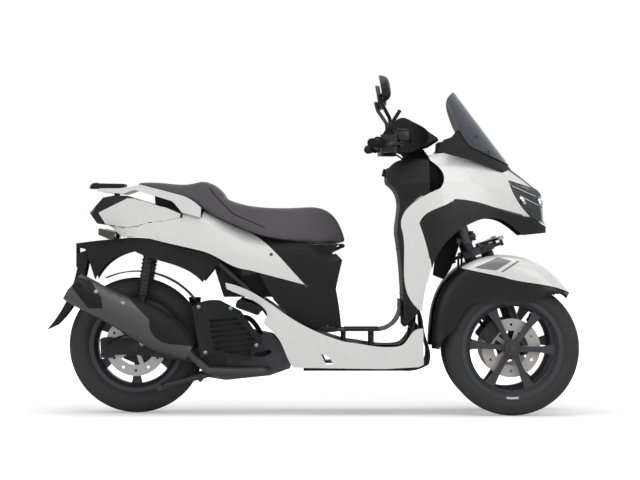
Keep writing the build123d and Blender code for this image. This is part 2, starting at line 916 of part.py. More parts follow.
SEAT_PLAN = [
    (-658, 98), (-600, 128), (-446, 146), (-384, 152), (-330, 168),
    (-224, 170), (-100, 150), (0, 118), (126, 52),
]


SEAT_UNDER = [(99, 641), (-35, 647), (-155, 663), (-305, 718), (-406, 770), (-451, 804)]


def seat_side():
    """Side outline of the two-level saddle."""
    return side_face(
        [(-656, 866)],
        [(-550, 866), (-446, 864), (-400, 872), (-378, 866), (-322, 809)],
        [(-224, 780), (-140, 773), (-51, 774), (40, 770), (73, 752), (104, 712), (127, 648)],
        [SEAT_UNDER[0]],
        SEAT_UNDER[1:],
        [(-638, 852)],
    )


def seat_cushion():
    """Two-level saddle cushion with rounded sides."""
    edge = [Vector(x, y) for x, y in SEAT_PLAN]
    mirror_edge = [Vector(x, -y) for x, y in reversed(SEAT_PLAN)]
    nose = Line(edge[-1], mirror_edge[0])
    tail = Line(mirror_edge[-1], edge[0])
    plan = make_face([Spline(*edge), nose, Spline(*mirror_edge), tail])
    return wide(seat_side(), 200) & extrude(plan, amount=1000)


CARRIER_X = -757
CARRIER_Y = 104
CARRIER_BOLT_R = 4.25


def grab_rail():
    """White loop around the back of the seat, both sides and tail in one."""
    side_bar = side_face(
        [(-807, 838)],
        [(-797, 848)],
        [(-717, 848)],
        [(-639, 861)],
        [(-493, 823)],
        [(-452, 806), (-412, 774)],
        [(-414, 737)],
        [(-484, 757)],
        [(-512, 791)],
        [(-523, 800)],
        [(-663, 842)],
        [(-707, 827)],
    )
    plan_out = [(-820, 96), (-700, 140), (-560, 166), (-405, 178)]
    plan_in = [(-790, 70), (-700, 112), (-560, 140), (-400, 158)]
    outer = make_face([
        Spline(*[Vector(x, y) for x, y in plan_out]),
        Line(plan_out[-1], (plan_out[-1][0], -plan_out[-1][1])),
        Spline(*[Vector(x, -y) for x, y in reversed(plan_out)]),
        Line((plan_out[0][0], -plan_out[0][1]), plan_out[0]),
    ])
    inner = make_face([
        Spline(*[Vector(x, y) for x, y in plan_in]),
        Line(plan_in[-1], (plan_in[-1][0], -plan_in[-1][1])),
        Spline(*[Vector(x, -y) for x, y in reversed(plan_in)]),
        Line((plan_in[0][0], -plan_in[0][1]), plan_in[0]),
    ])
    ring = extrude(outer, amount=1000) - extrude(inner, amount=1000)
    bar = ring & wide(side_bar, 300)
    for side in (-1, 1):
        hole = Vector(CARRIER_X, side * CARRIER_Y, 800)
        bar = bar - rod(hole, hole + Vector(0, 0, 80), CARRIER_BOLT_R)
    return bar


PAD_LOW = 848.3
PAD_HALF = 66


def backrest_pad():
    """Black pad on the back of the grab rail, with a foot on the tail."""
    face = side_face([(-838, PAD_LOW)], [(-832, 863), (-800, 868)], [(-706, 866)], [(-706, PAD_LOW)])
    foot = side_face([(-746, 860)], [(-746, 822.3)], [(-730, 822.3)], [(-730, 860)])
    return wide(face, PAD_HALF) + wide(foot, 40)


REST = 0.5
PAN_T = 6
PAN_HALF = 112
BOX_HALF = 108
BOX_BACK = (-590, 839.7)
BOX_FACE = [
    [(-582, 722)],
    [(-400, 668)],
    [(-330, BOX_LOW)],
    [(-60, BOX_LOW)],
    [(50, 560)],
]


def under_seat(drop):
    """Line of the saddle's underside, lowered by drop, front to back."""
    return [(x, z - drop) for x, z in SEAT_UNDER]


HINGE_X = 118
HINGE_Z = 632
HINGE_R = 8
HINGE_PIN_R = 3
KNUCKLE_HALF = 28
EAR_T = 9
EAR_FOOT = (79, 606)
EAR_HEAD = (91, 624)


def hinge_bar(half, radius):
    """Bar across the machine on the axis that the seat turns about."""
    return rod((HINGE_X, -half, HINGE_Z), (HINGE_X, half, HINGE_Z), radius)


def storage_box():
    """Open-topped helmet bucket under the seat, deep ahead of the wheel,
    with the two ears and the pin that the seat turns on at its nose."""
    depth = FIT + PAN_T + REST
    outer = side_face(under_seat(depth), [(BOX_BACK[0], BOX_BACK[1] - depth)], *BOX_FACE)
    inner = side_face([(99, 900)], [(BOX_BACK[0], 900)], *BOX_FACE, grow=-SKIN)
    box = wide(outer, BOX_HALF) - wide(inner, BOX_HALF - SKIN)
    web = side_face([EAR_FOOT], [(HINGE_X + 6, HINGE_Z - 5)], [(HINGE_X - 6, HINGE_Z + 5)], [EAR_HEAD])
    ears = wide(web, KNUCKLE_HALF + RUN + EAR_T) + hinge_bar(KNUCKLE_HALF + RUN + EAR_T, HINGE_R)
    gap = Pos(HINGE_X, 0, HINGE_Z) * Box(100, 2 * (KNUCKLE_HALF + RUN), 100)
    return box + (ears - gap) + hinge_bar(KNUCKLE_HALF + RUN + EAR_T, HINGE_PIN_R)


SHOCK_TOP = (-600, 95, 664)
SHOCK_RIGHT = (-652, -90, 330)
SHOCK_LEFT = (-652, 106, 352)
FENDER_HALF = 146


def rear_fender():
    """Long black carrier behind the wheel, with arch and plate arm."""
    face = side_face(
        [(-890, 641)],
        [(-762, 656), (-709, 660)],
        [(-664, 663), (-541, 639), (-361, 590), (-340, 580)],
        [(-408, 496)],
        [(-513, 560), (-581, 580), (-664, 612)],
        [(-754, 577), (-815, 505)],
        [(-843, 592)],
        [(-853, 620)],
        [(-884, 626)],
    )
    hollow = side_face(
        [(-860, 619)],
        [(-850, 634)],
        [(-762, 652), (-709, 656)],
        [(-664, 659), (-541, 635), (-361, 586)],
        [(-330, 560)],
        [(-330, 400)],
        [(-860, 400)],
    )
    tongue = [(-892, 70), (-860, 80), (-760, 92), (-690, 118), (-640, 128)]
    plan = plan_face(tongue + [(-560, FENDER_HALF), (-330, FENDER_HALF)])
    tongue_in = [(-870, 76), (-760, 89), (-690, 115), (-640, 125)]
    inner = FENDER_HALF - SKIN
    plan_in = plan_face(tongue_in + [(-560, inner), (-320, inner)])
    shell = (wide(face, 200) & extrude(plan, amount=900)) - (wide(hollow, 200) & extrude(plan_in, amount=900))
    room = wide(side_face([(-412, 700)], [(-300, 700)], [(-300, 400)], [(-412, 400)]), BOX_HALF + 14)
    for foot in (SHOCK_RIGHT, SHOCK_LEFT):
        side = 1 if foot[1] > 0 else -1
        top = (SHOCK_TOP[0], side * SHOCK_TOP[1], SHOCK_TOP[2])
        shell = shell - rod(foot, top, 26) - frame_rail(side, RAIL_R + FIT)
    return shell - room + plate_bracket()


PLATE_X = -886
PLATE_T = 4
PLATE_Z = 575
PLATE_BOLT_Y = 50
PLATE_BOLT_R = 3.25


def plate_bracket():
    """Upright bracket at the end of the rear fender, bored for the number plate."""
    bracket = Pos(PLATE_X, 0, PLATE_Z + 18) * Box(PLATE_T, 130, 82)
    for side in (-1, 1):
        hole = Vector(PLATE_X - 10, side * PLATE_BOLT_Y, PLATE_Z)
        bracket = bracket - rod(hole, hole + Vector(20, 0, 0), PLATE_BOLT_R)
    return bracket


FLAP_HALF = 68
TAIL_X = -997.5


def mud_flap():
    """Flap that hangs behind the rear wheel, a channel open towards it."""
    face = side_face(
        [(-853, 614)],
        [(PLATE_X + PLATE_T / 2 + FIT, 604)],
        [(PLATE_X + PLATE_T / 2 + FIT, 552)],
        [(-912, 453), (TAIL_X, 316)],
        [(-966, 331)],
        [(-900, 412), (-857, 521)],
        [(-843, 588)],
    )
    room = side_face(
        [(-845, 618)],
        [(-876, 550)],
        [(-908, 451), (TAIL_X + 5, 312)],
        [(-940, 300)],
        [(-880, 412), (-840, 521)],
        [(-820, 618)],
    )
    return wide(face, FLAP_HALF) - wide(room, FLAP_HALF - SKIN)


def rear_indicators():
    """Turn lamps on short stalks between the fender and the tail."""
    face = side_face([(-795, 699)], [(-796, 674)], [(-757, 656.6)], [(-738, 658.1)], [(-733, 684)])
    lens = slab(face, -168, -96)
    return fillet(lens.edges().filter_by(Axis.Y), 5)


# -------------------------------------------------------------- frame and power
HEAD_R = 22
POST_X = (120, 225)
SIDE_PIVOT = Vector(-76, 150, 190)
SIDE_AXIS = Vector(-0.2, 0.98, 0).normalized()
SIDE_EYE_HALF = 10
HEAD_LOW_H = CROWN_H + 39
HEAD_HIGH_H = UPPER_ARM_H + 137
RAIL_Y = 125
RAIL_R = 13
SPINE_R = 20


def frame_rail(side, radius):
    """Tube that runs from the down tube under the floor and up to the tail."""
    y = side * RAIL_Y
    points = [
        Vector(384, y, 338),
        Vector(372, y, 240),
        Vector(-60, y, 236),
        Vector(-190, y, 420),
        Vector(-420, y, 640),
        Vector(-700, 0.62 * y, 722),
    ]
    return bent_bar(points, radius, 55)


def main_frame():
    """Welded tubes: head, down tube, floor rails, seat rails and tail loop."""
    low = local(-COLUMN_SETBACK, HEAD_LOW_H)
    high = local(-COLUMN_SETBACK, HEAD_HIGH_H)
    frame = rod(low, high, HEAD_R)
    spine = bent_bar(
        [
            local(-COLUMN_SETBACK - 18, HEAD_LOW_H + 60),
            Vector(392, 0, 560),
            Vector(374, 0, 330),
        ],
        SPINE_R,
        60,
    )
    frame = frame + spine
    cross = rod((384, -RAIL_Y, 330), (384, RAIL_Y, 330), 16)
    frame = frame + cross
    for side in (-1, 1):
        frame = frame + frame_rail(side, RAIL_R)
    for x, z, reach in ((-40, 236, RAIL_Y), (-690, 719, 0.63 * RAIL_Y)):
        frame = frame + rod((x, -reach, z), (x, reach, z), 11)
    for x in POST_X:
        for y in (-RAIL_Y, RAIL_Y):
            frame = frame + rod((x, y, TRAY_Z + FIT), (x, y, FLOOR_Z - FLOOR_T - FIT), 9)
    frame = frame + rod((-190, -RAIL_Y, BOX_LOW - 11 - FIT), (-190, RAIL_Y, BOX_LOW - 11 - FIT), 11)
    lug = SIDE_PIVOT - SIDE_AXIS * ((SIDE_PIVOT.Y - RAIL_Y) / SIDE_AXIS.Y)
    seat = SIDE_PIVOT - SIDE_AXIS * (SIDE_EYE_HALF + FIT)
    frame = frame + rod(lug, (lug.X, RAIL_Y, 238), 10) + rod(lug, seat, 12)
    for height in (LOWER_ARM_H, UPPER_ARM_H):
        root = local(-COLUMN_SETBACK + 10, height)
        tip = local(-38, height)
        pin_end = local(38, height)
        frame = frame + rod(root, tip, 20) + rod(tip, pin_end, PIN_R)
    bore = rod(local(-COLUMN_SETBACK, HEAD_LOW_H - 80), local(-COLUMN_SETBACK, HEAD_HIGH_H + 5), COLUMN_R + RUN)
    return frame - bore


ENGINE_HALF = 78
STAND_X = -385
STAND_Z = 150
STAND_R = 12
RADIATOR_BACK = -150


def engine_block():
    """Crankcase, barrel and the fan housing that carries the radiator."""
    face = side_face(
        [(-452, 190)],
        [(-425, 152), (-398, 138)],
        [(-323, 126)],
        [(-158, 143)],
        [(-80, 170)],
        [(-70, 220)],
        [(-150, 300)],
        [(-300, 330)],
        [(-430, 300)],
    )
    block = wide(face, ENGINE_HALF)
    barrel = rod((-200, 0, 226), (-88, 0, 246), 62)
    fan = rod((-300, -ENGINE_HALF + 4, 300), (-300, RADIATOR_BACK + FIT, 300), 58)
    wheel_room = rod((REAR_AXLE_X, -200, REAR_AXLE_Z), (REAR_AXLE_X, 200, REAR_AXLE_Z), REAR_TYRE_R + 12)
    stand_bore = rod((STAND_X, -100, STAND_Z), (STAND_X, 100, STAND_Z), STAND_R + RUN)
    return block + barrel + fan - wheel_room - stand_bore


CASE_IN = 86
CASE_OUT = 150


def transmission_case():
    """Belt-drive case along the left of the rear wheel."""
    outline = side_face(
        [(-330, 332)],
        [(-450, 318), (-560, 326), (REAR_AXLE_X, REAR_AXLE_Z + 80)],
        [
            (REAR_AXLE_X - 56, REAR_AXLE_Z + 57),
            (REAR_AXLE_X - 80, REAR_AXLE_Z),
            (REAR_AXLE_X - 56, REAR_AXLE_Z - 57),
        ],
        [(REAR_AXLE_X, REAR_AXLE_Z - 80)],
        [(-500, 182), (-330, 172)],
        [(-262, 188), (-240, 240), (-262, 306)],
        [(-330, 332)],
    )
    case = slab(outline, CASE_IN, CASE_OUT)
    case = chamfer(case.faces().sort_by(Axis.Y)[-1].edges(), 8)
    outline = side_face([(-380, 200)], [(-380, 300)], [(-280, 300)], [(-280, 200)])
    neck = slab(outline, ENGINE_HALF + FIT, CASE_IN + 2)
    return case + neck


ARM_FROM = -98
ARM_TO = -ENGINE_HALF - FIT


def swing_arm():
    """Right arm to the rear axle, with the axle and the rear caliper."""
    face = side_face(
        [(-330, 214)],
        [(-480, 266), (REAR_AXLE_X + 6, REAR_AXLE_Z + 34)],
        [(REAR_AXLE_X - 34, REAR_AXLE_Z), (REAR_AXLE_X, REAR_AXLE_Z - 34)],
        [(-480, 200), (-330, 176)],
    )
    lug = side_face([(-690, 250)], [(-672, 314)], [(-632, 314)], [(-620, 250)])
    tail = side_face([(-662, 290)], [(-790, 280)], [(-790, 220)], [(-662, 224)])
    arm = slab(face, ARM_FROM, ARM_TO) + slab(lug, ARM_FROM, ARM_TO) + slab(tail, ARM_FROM, ARM_FROM + 14)
    axle = rod((REAR_AXLE_X, ARM_FROM - 10, REAR_AXLE_Z), (REAR_AXLE_X, CASE_IN - FIT, REAR_AXLE_Z), AXLE_R)
    end = Plane((REAR_AXLE_X, ARM_FROM, REAR_AXLE_Z), z_dir=(0, -1, 0))
    nut = extrude(end * RegularPolygon(16, 6), amount=12)
    collar = rod((REAR_AXLE_X, ARM_FROM - 4, REAR_AXLE_Z), (REAR_AXLE_X, ARM_FROM, REAR_AXLE_Z), 27)
    grip = caliper(Vector(REAR_AXLE_X, 0, REAR_AXLE_Z), -REAR_DISC_Y, 184, 106, REAR_DISC_R)
    return arm + axle + collar + nut + grip


SILENCER_Y = -176
SILENCER_FRONT = (-452, 240)
SILENCER_TILT = 28.2


def silencer_ring(along, shift, half_high, half_wide):
    """Oval section of the silencer at a distance behind its front end."""
    tilt = radians(SILENCER_TILT)
    back = Vector(-cos(tilt), 0, sin(tilt))
    over = Vector(sin(tilt), 0, cos(tilt))
    centre = Vector(SILENCER_FRONT[0], SILENCER_Y, SILENCER_FRONT[1]) + back * along + over * shift
    plane = Plane(origin=centre, x_dir=(0, 1, 0), z_dir=back)
    return plane * Ellipse(half_wide, half_high)


def silencer_form(swell):
    """Oval silencer body, with every section swollen by the same amount."""
    rings = [
        (0, -4, 34, 34),
        (60, 6, 58, 46),
        (150, 10, 72, 54),
        (260, 8, 66, 56),
        (400, 4, 59, 53),
        (520, 4, 55, 46),
    ]
    return loft([silencer_ring(a, b, c + swell, d + swell) for a, b, c, d in rings])


def exhaust():
    """Silencer with its end cap and the header pipe from the cylinder."""
    body = silencer_form(0)
    cut = side_face([(-1000, 700)], [(-846, 560)], [(-880, 498), (-905, 470)], [(-960, 380)], [(-1000, 380)])
    body = body - wide(cut, 300)
    pipe_run = bent_bar(
        [
            Vector(-170, -ENGINE_HALF - FIT, 164),
            Vector(-170, -116, 164),
            Vector(-390, -134, 168),
            Vector(-470, SILENCER_Y, 246),
        ],
        16,
        22,
    )
    return body + pipe_run


def exhaust_shield():
    """Heat shield over the outer face of the silencer's front half."""
    face = side_face(
        [(-681, 444)],
        [(-640, 400), (-600, 358)],
        [(-578, 291), (-560, 278), (-529, 268)],
        [(-443, 259)],
        [(-436, 351)],
        [(-486, 372), (-555, 398)],
    )
    shell = silencer_form(FIT + 2.5) - silencer_form(FIT)
    return shell & slab(face, -300, SILENCER_Y)


COVER_FACE = [
    [(-445, 406)],
    [(-404, 425), (-340, 428)],
    [(-264, 388)],
    [(-180, 270)],
    [(-230, 204)],
    [(-372, 229)],
    [(-412, 214)],
]
COVER_OUT = -200


def radiator():
    """Radiator core, its outline following the cover that surrounds it."""
    core = side_face([(-384, 232)], [(-400, 380)], [(-276, 378)], [(-204, 284)], [(-236, 222)])
    return slab(core, RADIATOR_BACK - 26, RADIATOR_BACK)


def radiator_cover():
    """Black shroud round the radiator with a slatted window."""
    inside = [
        [(-440, 403)],
        [(-404, 422), (-342, 425)],
        [(-266, 385)],
        [(-184, 270)],
        [(-231, 207)],
        [(-372, 232)],
        [(-409, 218)],
    ]
    window = side_face([(-381, 356)], [(-281, 367)], [(-206, 280)], [(-232, 222)], [(-360, 243)])
    cover = slab(side_face(*COVER_FACE), COVER_OUT, -140) - slab(side_face(*inside), COVER_OUT + SKIN, -130)
    cover = cover - slab(window, COVER_OUT - 10, COVER_OUT + 10)
    for row in range(6):
        bar = Pos(-295, COVER_OUT + 4, 246 + row * 21) * Rot(0, -6, 0) * Box(260, 6, 7)
        cover = cover + (bar & slab(side_face(*COVER_FACE), COVER_OUT, -140))
    for x, z in ((-396, 300), (-300, 398), (-300, 222)):
        post = rod((x, COVER_OUT + 1, z), (x, RADIATOR_BACK + 20, z), 7)
        cover = cover + post
    return cover - slab(side_face([(-385, 231)], [(-401, 381)], [(-276, 379)], [(-203, 284)], [(-236, 221)]),
                        RADIATOR_BACK - 26 - FIT, -100)




def shock(top, foot):
    """Damper with its spring seats and an eye at each end."""
    top = Vector(*top)
    foot = Vector(*foot)
    run = (foot - top).normalized()
    length = (foot - top).length
    body = rod(top, foot, 9) + rod(top + run * 28, top + run * (0.66 * length), 21)
    body = body + rod(top + run * (0.6 * length), foot - run * 8, 15)
    for end in (top, foot):
        body = body + rod(end - Vector(0, 9, 0), end + Vector(0, 9, 0), 14)
    return body


def rear_shocks():
    """Damper and spring on each side of the rear wheel."""
    x, y, z = SHOCK_TOP
    return [shock((x, -y, z), SHOCK_RIGHT), shock((x, y, z), SHOCK_LEFT)]


def rear_hugger():
    """Arc that hugs the rear tyre."""
    section = Plane.XZ * (Circle(REAR_TYRE_R + 26) - Circle(REAR_TYRE_R + 22))
    ring = Pos(REAR_AXLE_X, 0, REAR_AXLE_Z) * slab(section, -67, 67)
    keep = side_face([(-766, 440)], [(-790, 600)], [(-380, 600)], [(-392, 470)], [(REAR_AXLE_X, REAR_AXLE_Z)])
    bracket = side_face([(-470, 436)], [(-424, 436)], [(-428, 296)], [(-452, 296)])
    return (ring & wide(keep, 100)) + slab(bracket, 64, CASE_IN - FIT)


# --------------------------------------------------------------- steering parts
BAR_Z = 1045
COLUMN_FOOT = local(-COLUMN_SETBACK, 0)
BAR_X = COLUMN_FOOT.X - (BAR_Z - COLUMN_FOOT.Z) * tan(RAKE)
BAR_R = 11
BAR_PATH = [
    Vector(BAR_X, 0, BAR_Z),
    Vector(330, 95, 1040),
    Vector(262, 205, 1018),
    Vector(222, 362, 1010),
]


def bar_side(points, side):
    """The same run of points on one side of the centre plane."""
    return [Vector(p.X, side * p.Y, p.Z) for p in points]


def handlebar():
    """Handlebar, steering column and the arm that drives the tie rod."""
    bar = Part()
    for side in (-1, 1):
        bar = bar + bent_bar(bar_side(BAR_PATH, side), BAR_R, 30)
    column_low = local(-COLUMN_SETBACK, CROWN_H - 16)
    column_high = Vector(BAR_X, 0, BAR_Z)
    bar = bar + rod(column_low, column_high, COLUMN_R) + Pos(BAR_X, 0, BAR_Z) * Sphere(20)
    plane = Plane(origin=local(-COLUMN_SETBACK, CROWN_H), x_dir=AXIS_AHEAD, z_dir=AXIS_UP)
    arm = extrude(plane * Pos(STEER_ARM / 2, 0) * SlotCenterToCenter(STEER_ARM, 40), amount=6, both=True)
    pin = local(STEER_ARM - COLUMN_SETBACK, CROWN_H - 10)
    bar = bar + arm + rod(pin, pin + AXIS_UP * PIN_RISE, TIE_PIN_R)
    for side in (-1, 1):
        housing = Pos(292, side * 232, 1012) * Rot(0, 0, side * 14) * Box(64, 62, 66)
        bar = bar + fillet(housing.edges().filter_by(Axis.Z), 10)
    return bar


def grips():
    """Rubber grips on the bar's ends."""
    pieces = []
    for side in (-1, 1):
        a, b = bar_side(BAR_PATH[2:], side)
        run = (b - a).normalized()
        start = a + run * 62
        end = b + run * 2
        pieces.append(pipe(start, end, 17, BAR_R + FIT) + rod(end, end + run * 6, 15))
    return pieces


COVER_X = 352
COVER_Z = 1048
COVER_SIDE = [(-52, -36), (-48, 42), (-12, 64), (28, 50), (92, 6), (66, -40), (4, -66)]
COVER_PLAN = [(262, 150), (330, 150), (392, 120), (436, 64), (450, 0)]


def cover_form(inset):
    """Rounded body round the middle of the handlebar, brought inwards by inset."""
    shrink = 1 - inset / 58
    ring = [(COVER_X + dx * shrink, COVER_Z + dz * shrink) for dx, dz in COVER_SIDE]
    narrow = 1 - inset / 150
    edge = [(x - inset, y * narrow) for x, y in COVER_PLAN]
    plan = make_face([
        Spline(*[Vector(x, y) for x, y in edge[1:]] + [Vector(x, -y) for x, y in reversed(edge[1:-1])]),
        Polyline((edge[1][0], -edge[1][1]), (edge[0][0], -edge[0][1]), edge[0], edge[1]),
    ])
    side = side_face(ring[:1], ring[1:] + ring[:1])
    return wide(side, 200) & extrude(plan, amount=1500)


def handlebar_cover():
    """Shell round the handlebar's middle, open below for the column."""
    shell = cover_form(0) - cover_form(SKIN)
    for side in (-1, 1):
        shell = shell - bent_bar(bar_side(BAR_PATH, side), BAR_R + FIT, 30)
    return shell - rod(local(-COLUMN_SETBACK, 985), local(-COLUMN_SETBACK, 1135), COLUMN_R + FIT)


def brake_levers():
    """Curved brake levers ahead of the grips."""
    pieces = []
    for side in (-1, 1):
        path = [Vector(332, side * 236, 1012), Vector(326, side * 285, 1010), Vector(284, side * 388, 1004)]
        pieces.append(bent_bar(path, 6.5, 40))
    return pieces


def mirrors():
    """Mirror heads on bent stems."""
    pieces = []
    for side in (-1, 1):
        stem = bent_bar(
            [
                Vector(292, side * 226, 1045 + FIT),
                Vector(292, side * 226, 1104),
                Vector(258, side * 300, 1160),
                Vector(250, side * 318, 1192),
            ],
            7,
            24,
        )
        plane = Plane((256, side * 322, 1210), x_dir=(0, 1, 0), z_dir=(1, 0, 0.16))
        head = loft([
            plane * Ellipse(74, 50),
            (plane.offset(16)) * Ellipse(70, 46),
            (plane.offset(34)) * Ellipse(34, 22),
        ])
        pieces.append(stem + head)
    return pieces


def tie_rod():
    """Two rods that fan out from a plate on the column arm to the forks."""
    height = CROWN_H + TIE_LIFT
    centre = local(STEER_ARM - COLUMN_SETBACK, height)
    half = AXIS_UP * (TIE_R + 1)
    shape = rod(centre - half, centre + half, 16)
    for side in (-1, 1):
        end = local(STEER_ARM, height, side * HALF_TRACK)
        shape = shape + rod(centre, end, TIE_R) + rod(end - half, end + half, 13)
        shape = shape - rod(end - 2 * half, end + 2 * half, TIE_PIN_R + RUN)
    return shape - rod(centre - 2 * half, centre + 2 * half, TIE_PIN_R + RUN)


def seat_pan():
    """Moulded pan under the cushion, with the knuckle of its hinge."""
    low = FIT + PAN_T
    below = under_seat(low)[::-1]
    back_x, back_z = BOX_BACK
    face = side_face(under_seat(FIT), [(back_x, back_z - FIT)], [(back_x, back_z - low)], below[:1], below[1:])
    nose_x, nose_z = SEAT_UNDER[0]
    arm = side_face(
        [(nose_x - 2, nose_z - FIT - 1)],
        [(HINGE_X, HINGE_Z + HINGE_R)],
        [(HINGE_X, HINGE_Z - HINGE_R)],
        [(nose_x + 1, nose_z - low + 1)],
        [(nose_x - 2, nose_z - low + 1)],
    )
    knuckle = wide(arm, KNUCKLE_HALF) + hinge_bar(KNUCKLE_HALF, HINGE_R)
    return wide(face, PAN_HALF) + knuckle - hinge_bar(KNUCKLE_HALF + 1, HINGE_PIN_R + RUN)


STAND_FOOT = (-562, 105)


def centre_stand():
    """Two-legged stand, folded back under the engine."""
    stand = rod((STAND_X, -100, STAND_Z), (STAND_X, 100, STAND_Z), STAND_R)
    for side in (-1, 1):
        leg = rod((STAND_X, side * 92, STAND_Z), (STAND_FOOT[0], side * 118, STAND_FOOT[1]), STAND_R)
        heel = Vector(STAND_FOOT[0], side * 108, STAND_FOOT[1])
        foot = rod(heel, heel + Vector(-4, side * 60, -4), 11)
        stand = stand + leg + foot
    brace = rod((-418, -98, 128), (-418, 98, 128), 8)
    return stand + brace


def side_stand():
    """Left prop stand, folded back along the floor."""
    foot = Vector(-214, 158, 158)
    leg = rod(SIDE_PIVOT, foot, 9)
    eye = rod(SIDE_PIVOT - SIDE_AXIS * SIDE_EYE_HALF, SIDE_PIVOT + SIDE_AXIS * SIDE_EYE_HALF, 15)
    shoe = rod(foot - Vector(8, 0, 6), foot + Vector(8, 8, 8), 13)
    return leg + eye + shoe


def pillion_pegs():
    """Folded passenger footrests with their brackets."""
    pieces = []
    for side in (-1, 1):
        pad = Pos(-234, side * 200, 404) * Rot(0, 20, 0) * Box(96, 46, 34)
        pad = fillet(pad.edges().filter_by(Axis.Y), 12)
        pieces.append(pad - belly_form(-FIT))
    return pieces


PAIRED = {
    "front_cowls": front_cowls,
    "arch_cowls": arch_cowls,
    "headlamp_lenses": headlamp_lenses,
    "headlamp_buckets": headlamp_buckets,
    "side_skirts": side_skirts,
    "rear_cowls": rear_cowls,
    "rear_indicators": rear_indicators,
    "seat_side_covers": seat_side_covers,
}
GROUPS = {
    "lean_arms": lean_linkage,
    "uprights": uprights,
    "rear_shocks": rear_shocks,
    "grips": grips,
    "brake_levers": brake_levers,
    "mirrors": mirrors,
    "pillion_pegs": pillion_pegs,
}
SINGLE = {
    "nose_cowl": nose_cowl,
    "windscreen": windscreen,
    "screen_surround": screen_surround,
    "leg_shield": leg_shield,
    "floor_board": floor_board,
    "under_cowl": under_cowl,
    "tail_cover": tail_cover,
    "rear_lamps": rear_lamps,
    "seat_cushion": seat_cushion,
    "seat_pan": seat_pan,
    "grab_rail": grab_rail,
    "backrest_pad": backrest_pad,
    "storage_box": storage_box,
    "rear_fender": rear_fender,
    "mud_flap": mud_flap,
    "rear_hugger": rear_hugger,
    "main_frame": main_frame,
    "engine_block": engine_block,
    "transmission_case": transmission_case,
    "swing_arm": swing_arm,
    "exhaust": exhaust,
    "exhaust_shield": exhaust_shield,
    "radiator": radiator,
    "radiator_cover": radiator_cover,
    "handlebar": handlebar,
    "handlebar_cover": handlebar_cover,
    "tie_rod": tie_rod,
    "centre_stand": centre_stand,
    "side_stand": side_stand,
}

for which, label in ((-1, "right"), (1, "left")):
    front_wheel(which)
    save(f"fork_{label}", fork(which))
    save(f"fender_{label}", fender(which))
    save(f"fender_cap_{label}", fender_cap(which))
rear_wheel()
for name, make in PAIRED.items():
    save(name, both_sides(make()))
for name, make in GROUPS.items():
    save(name, Compound(make()))
for name, make in SINGLE.items():
    save(name, make())
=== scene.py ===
"""Looks of a three-wheel motor scooter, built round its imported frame."""

import logging
import math
from dataclasses import dataclass
from enum import Enum
from typing import Callable, Protocol, Sequence

import bpy
from mathutils import Matrix, Vector
from mathutils.bvhtree import BVHTree


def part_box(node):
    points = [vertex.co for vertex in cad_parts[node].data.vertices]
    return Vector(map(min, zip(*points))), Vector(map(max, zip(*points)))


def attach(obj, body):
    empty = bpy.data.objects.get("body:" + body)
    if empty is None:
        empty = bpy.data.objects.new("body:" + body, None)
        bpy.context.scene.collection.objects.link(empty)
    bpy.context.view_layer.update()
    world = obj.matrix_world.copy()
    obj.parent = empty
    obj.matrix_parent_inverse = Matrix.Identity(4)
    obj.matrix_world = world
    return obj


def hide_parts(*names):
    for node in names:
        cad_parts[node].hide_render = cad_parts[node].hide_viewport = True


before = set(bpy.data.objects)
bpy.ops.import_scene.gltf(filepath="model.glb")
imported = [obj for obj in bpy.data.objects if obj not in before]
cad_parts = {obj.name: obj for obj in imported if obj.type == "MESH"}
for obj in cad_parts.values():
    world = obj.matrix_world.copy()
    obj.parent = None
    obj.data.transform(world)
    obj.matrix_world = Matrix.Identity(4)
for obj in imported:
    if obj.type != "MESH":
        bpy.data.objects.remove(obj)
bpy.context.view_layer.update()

LOG = logging.getLogger("scooter")
Point = tuple[float, float, float]
Spot = tuple[float, float]
Feelers = tuple[tuple[Point, Point], ...]
Colour = tuple[float, float, float]
Body = bpy.types.Object
Tree = bpy.types.NodeTree
Socket = bpy.types.NodeSocket
Node = bpy.types.Node

HARD_CREASE = 35.0
SOFT_CREASE = 60.0


# ------------------------------------------------------------------ finishes
COAT_ROUGHNESS = 0.06
RELIEF_HEIGHT = 0.001
NOISE_SPAN = (0.3, 0.7)
EDGE_SPAN = (0.53, 0.62)
WORN_GAIN = 2.2
WORN_LIFT = 0.05
MOTTLE_NOISE = (9.0, 4.0)
ROUGH_NOISE = (30.0, 5.0)
ROUGH_SPREAD = 0.12
FINE_DETAIL = 3.0
CAST_DETAIL = 8.0
RING_WAVER = 1.5


def fed(tree: Tree, node: Node | str, inputs: dict[str | int, Socket | float | Sequence[float]]) -> Node:
    """Feed the inputs of a node.

    Args:
        tree: node tree that holds it.
        node: the node, or the kind of a new one.
        inputs: for each input, its value or the output that feeds it.

    Returns:
        The node.
    """
    if isinstance(node, str):
        node = tree.nodes.new(f"ShaderNode{node}")
    for name, value in inputs.items():
        if isinstance(value, Socket):
            tree.links.new(value, node.inputs[name])
        else:
            node.inputs[name].default_value = value
    return node


def remapped(tree: Tree, source: Socket, span: Spot, result: Spot) -> Socket:
    """Map one range of values to another.

    Args:
        tree: node tree of the material.
        source: value to map.
        span: lowest and highest value that come in.
        result: what they become.

    Returns:
        The mapped value.
    """
    limits = dict(zip(("From Min", "From Max", "To Min", "To Max"), (*span, *result)))
    return fed(tree, "MapRange", {**limits, "Value": source}).outputs["Result"]


class Grain(Enum):
    """Kinds of surface relief."""

    NONE = "none"
    FINE = "fine"
    LEATHER = "leather"
    CAST = "cast"
    RINGS = "rings"
    FINS = "fins"


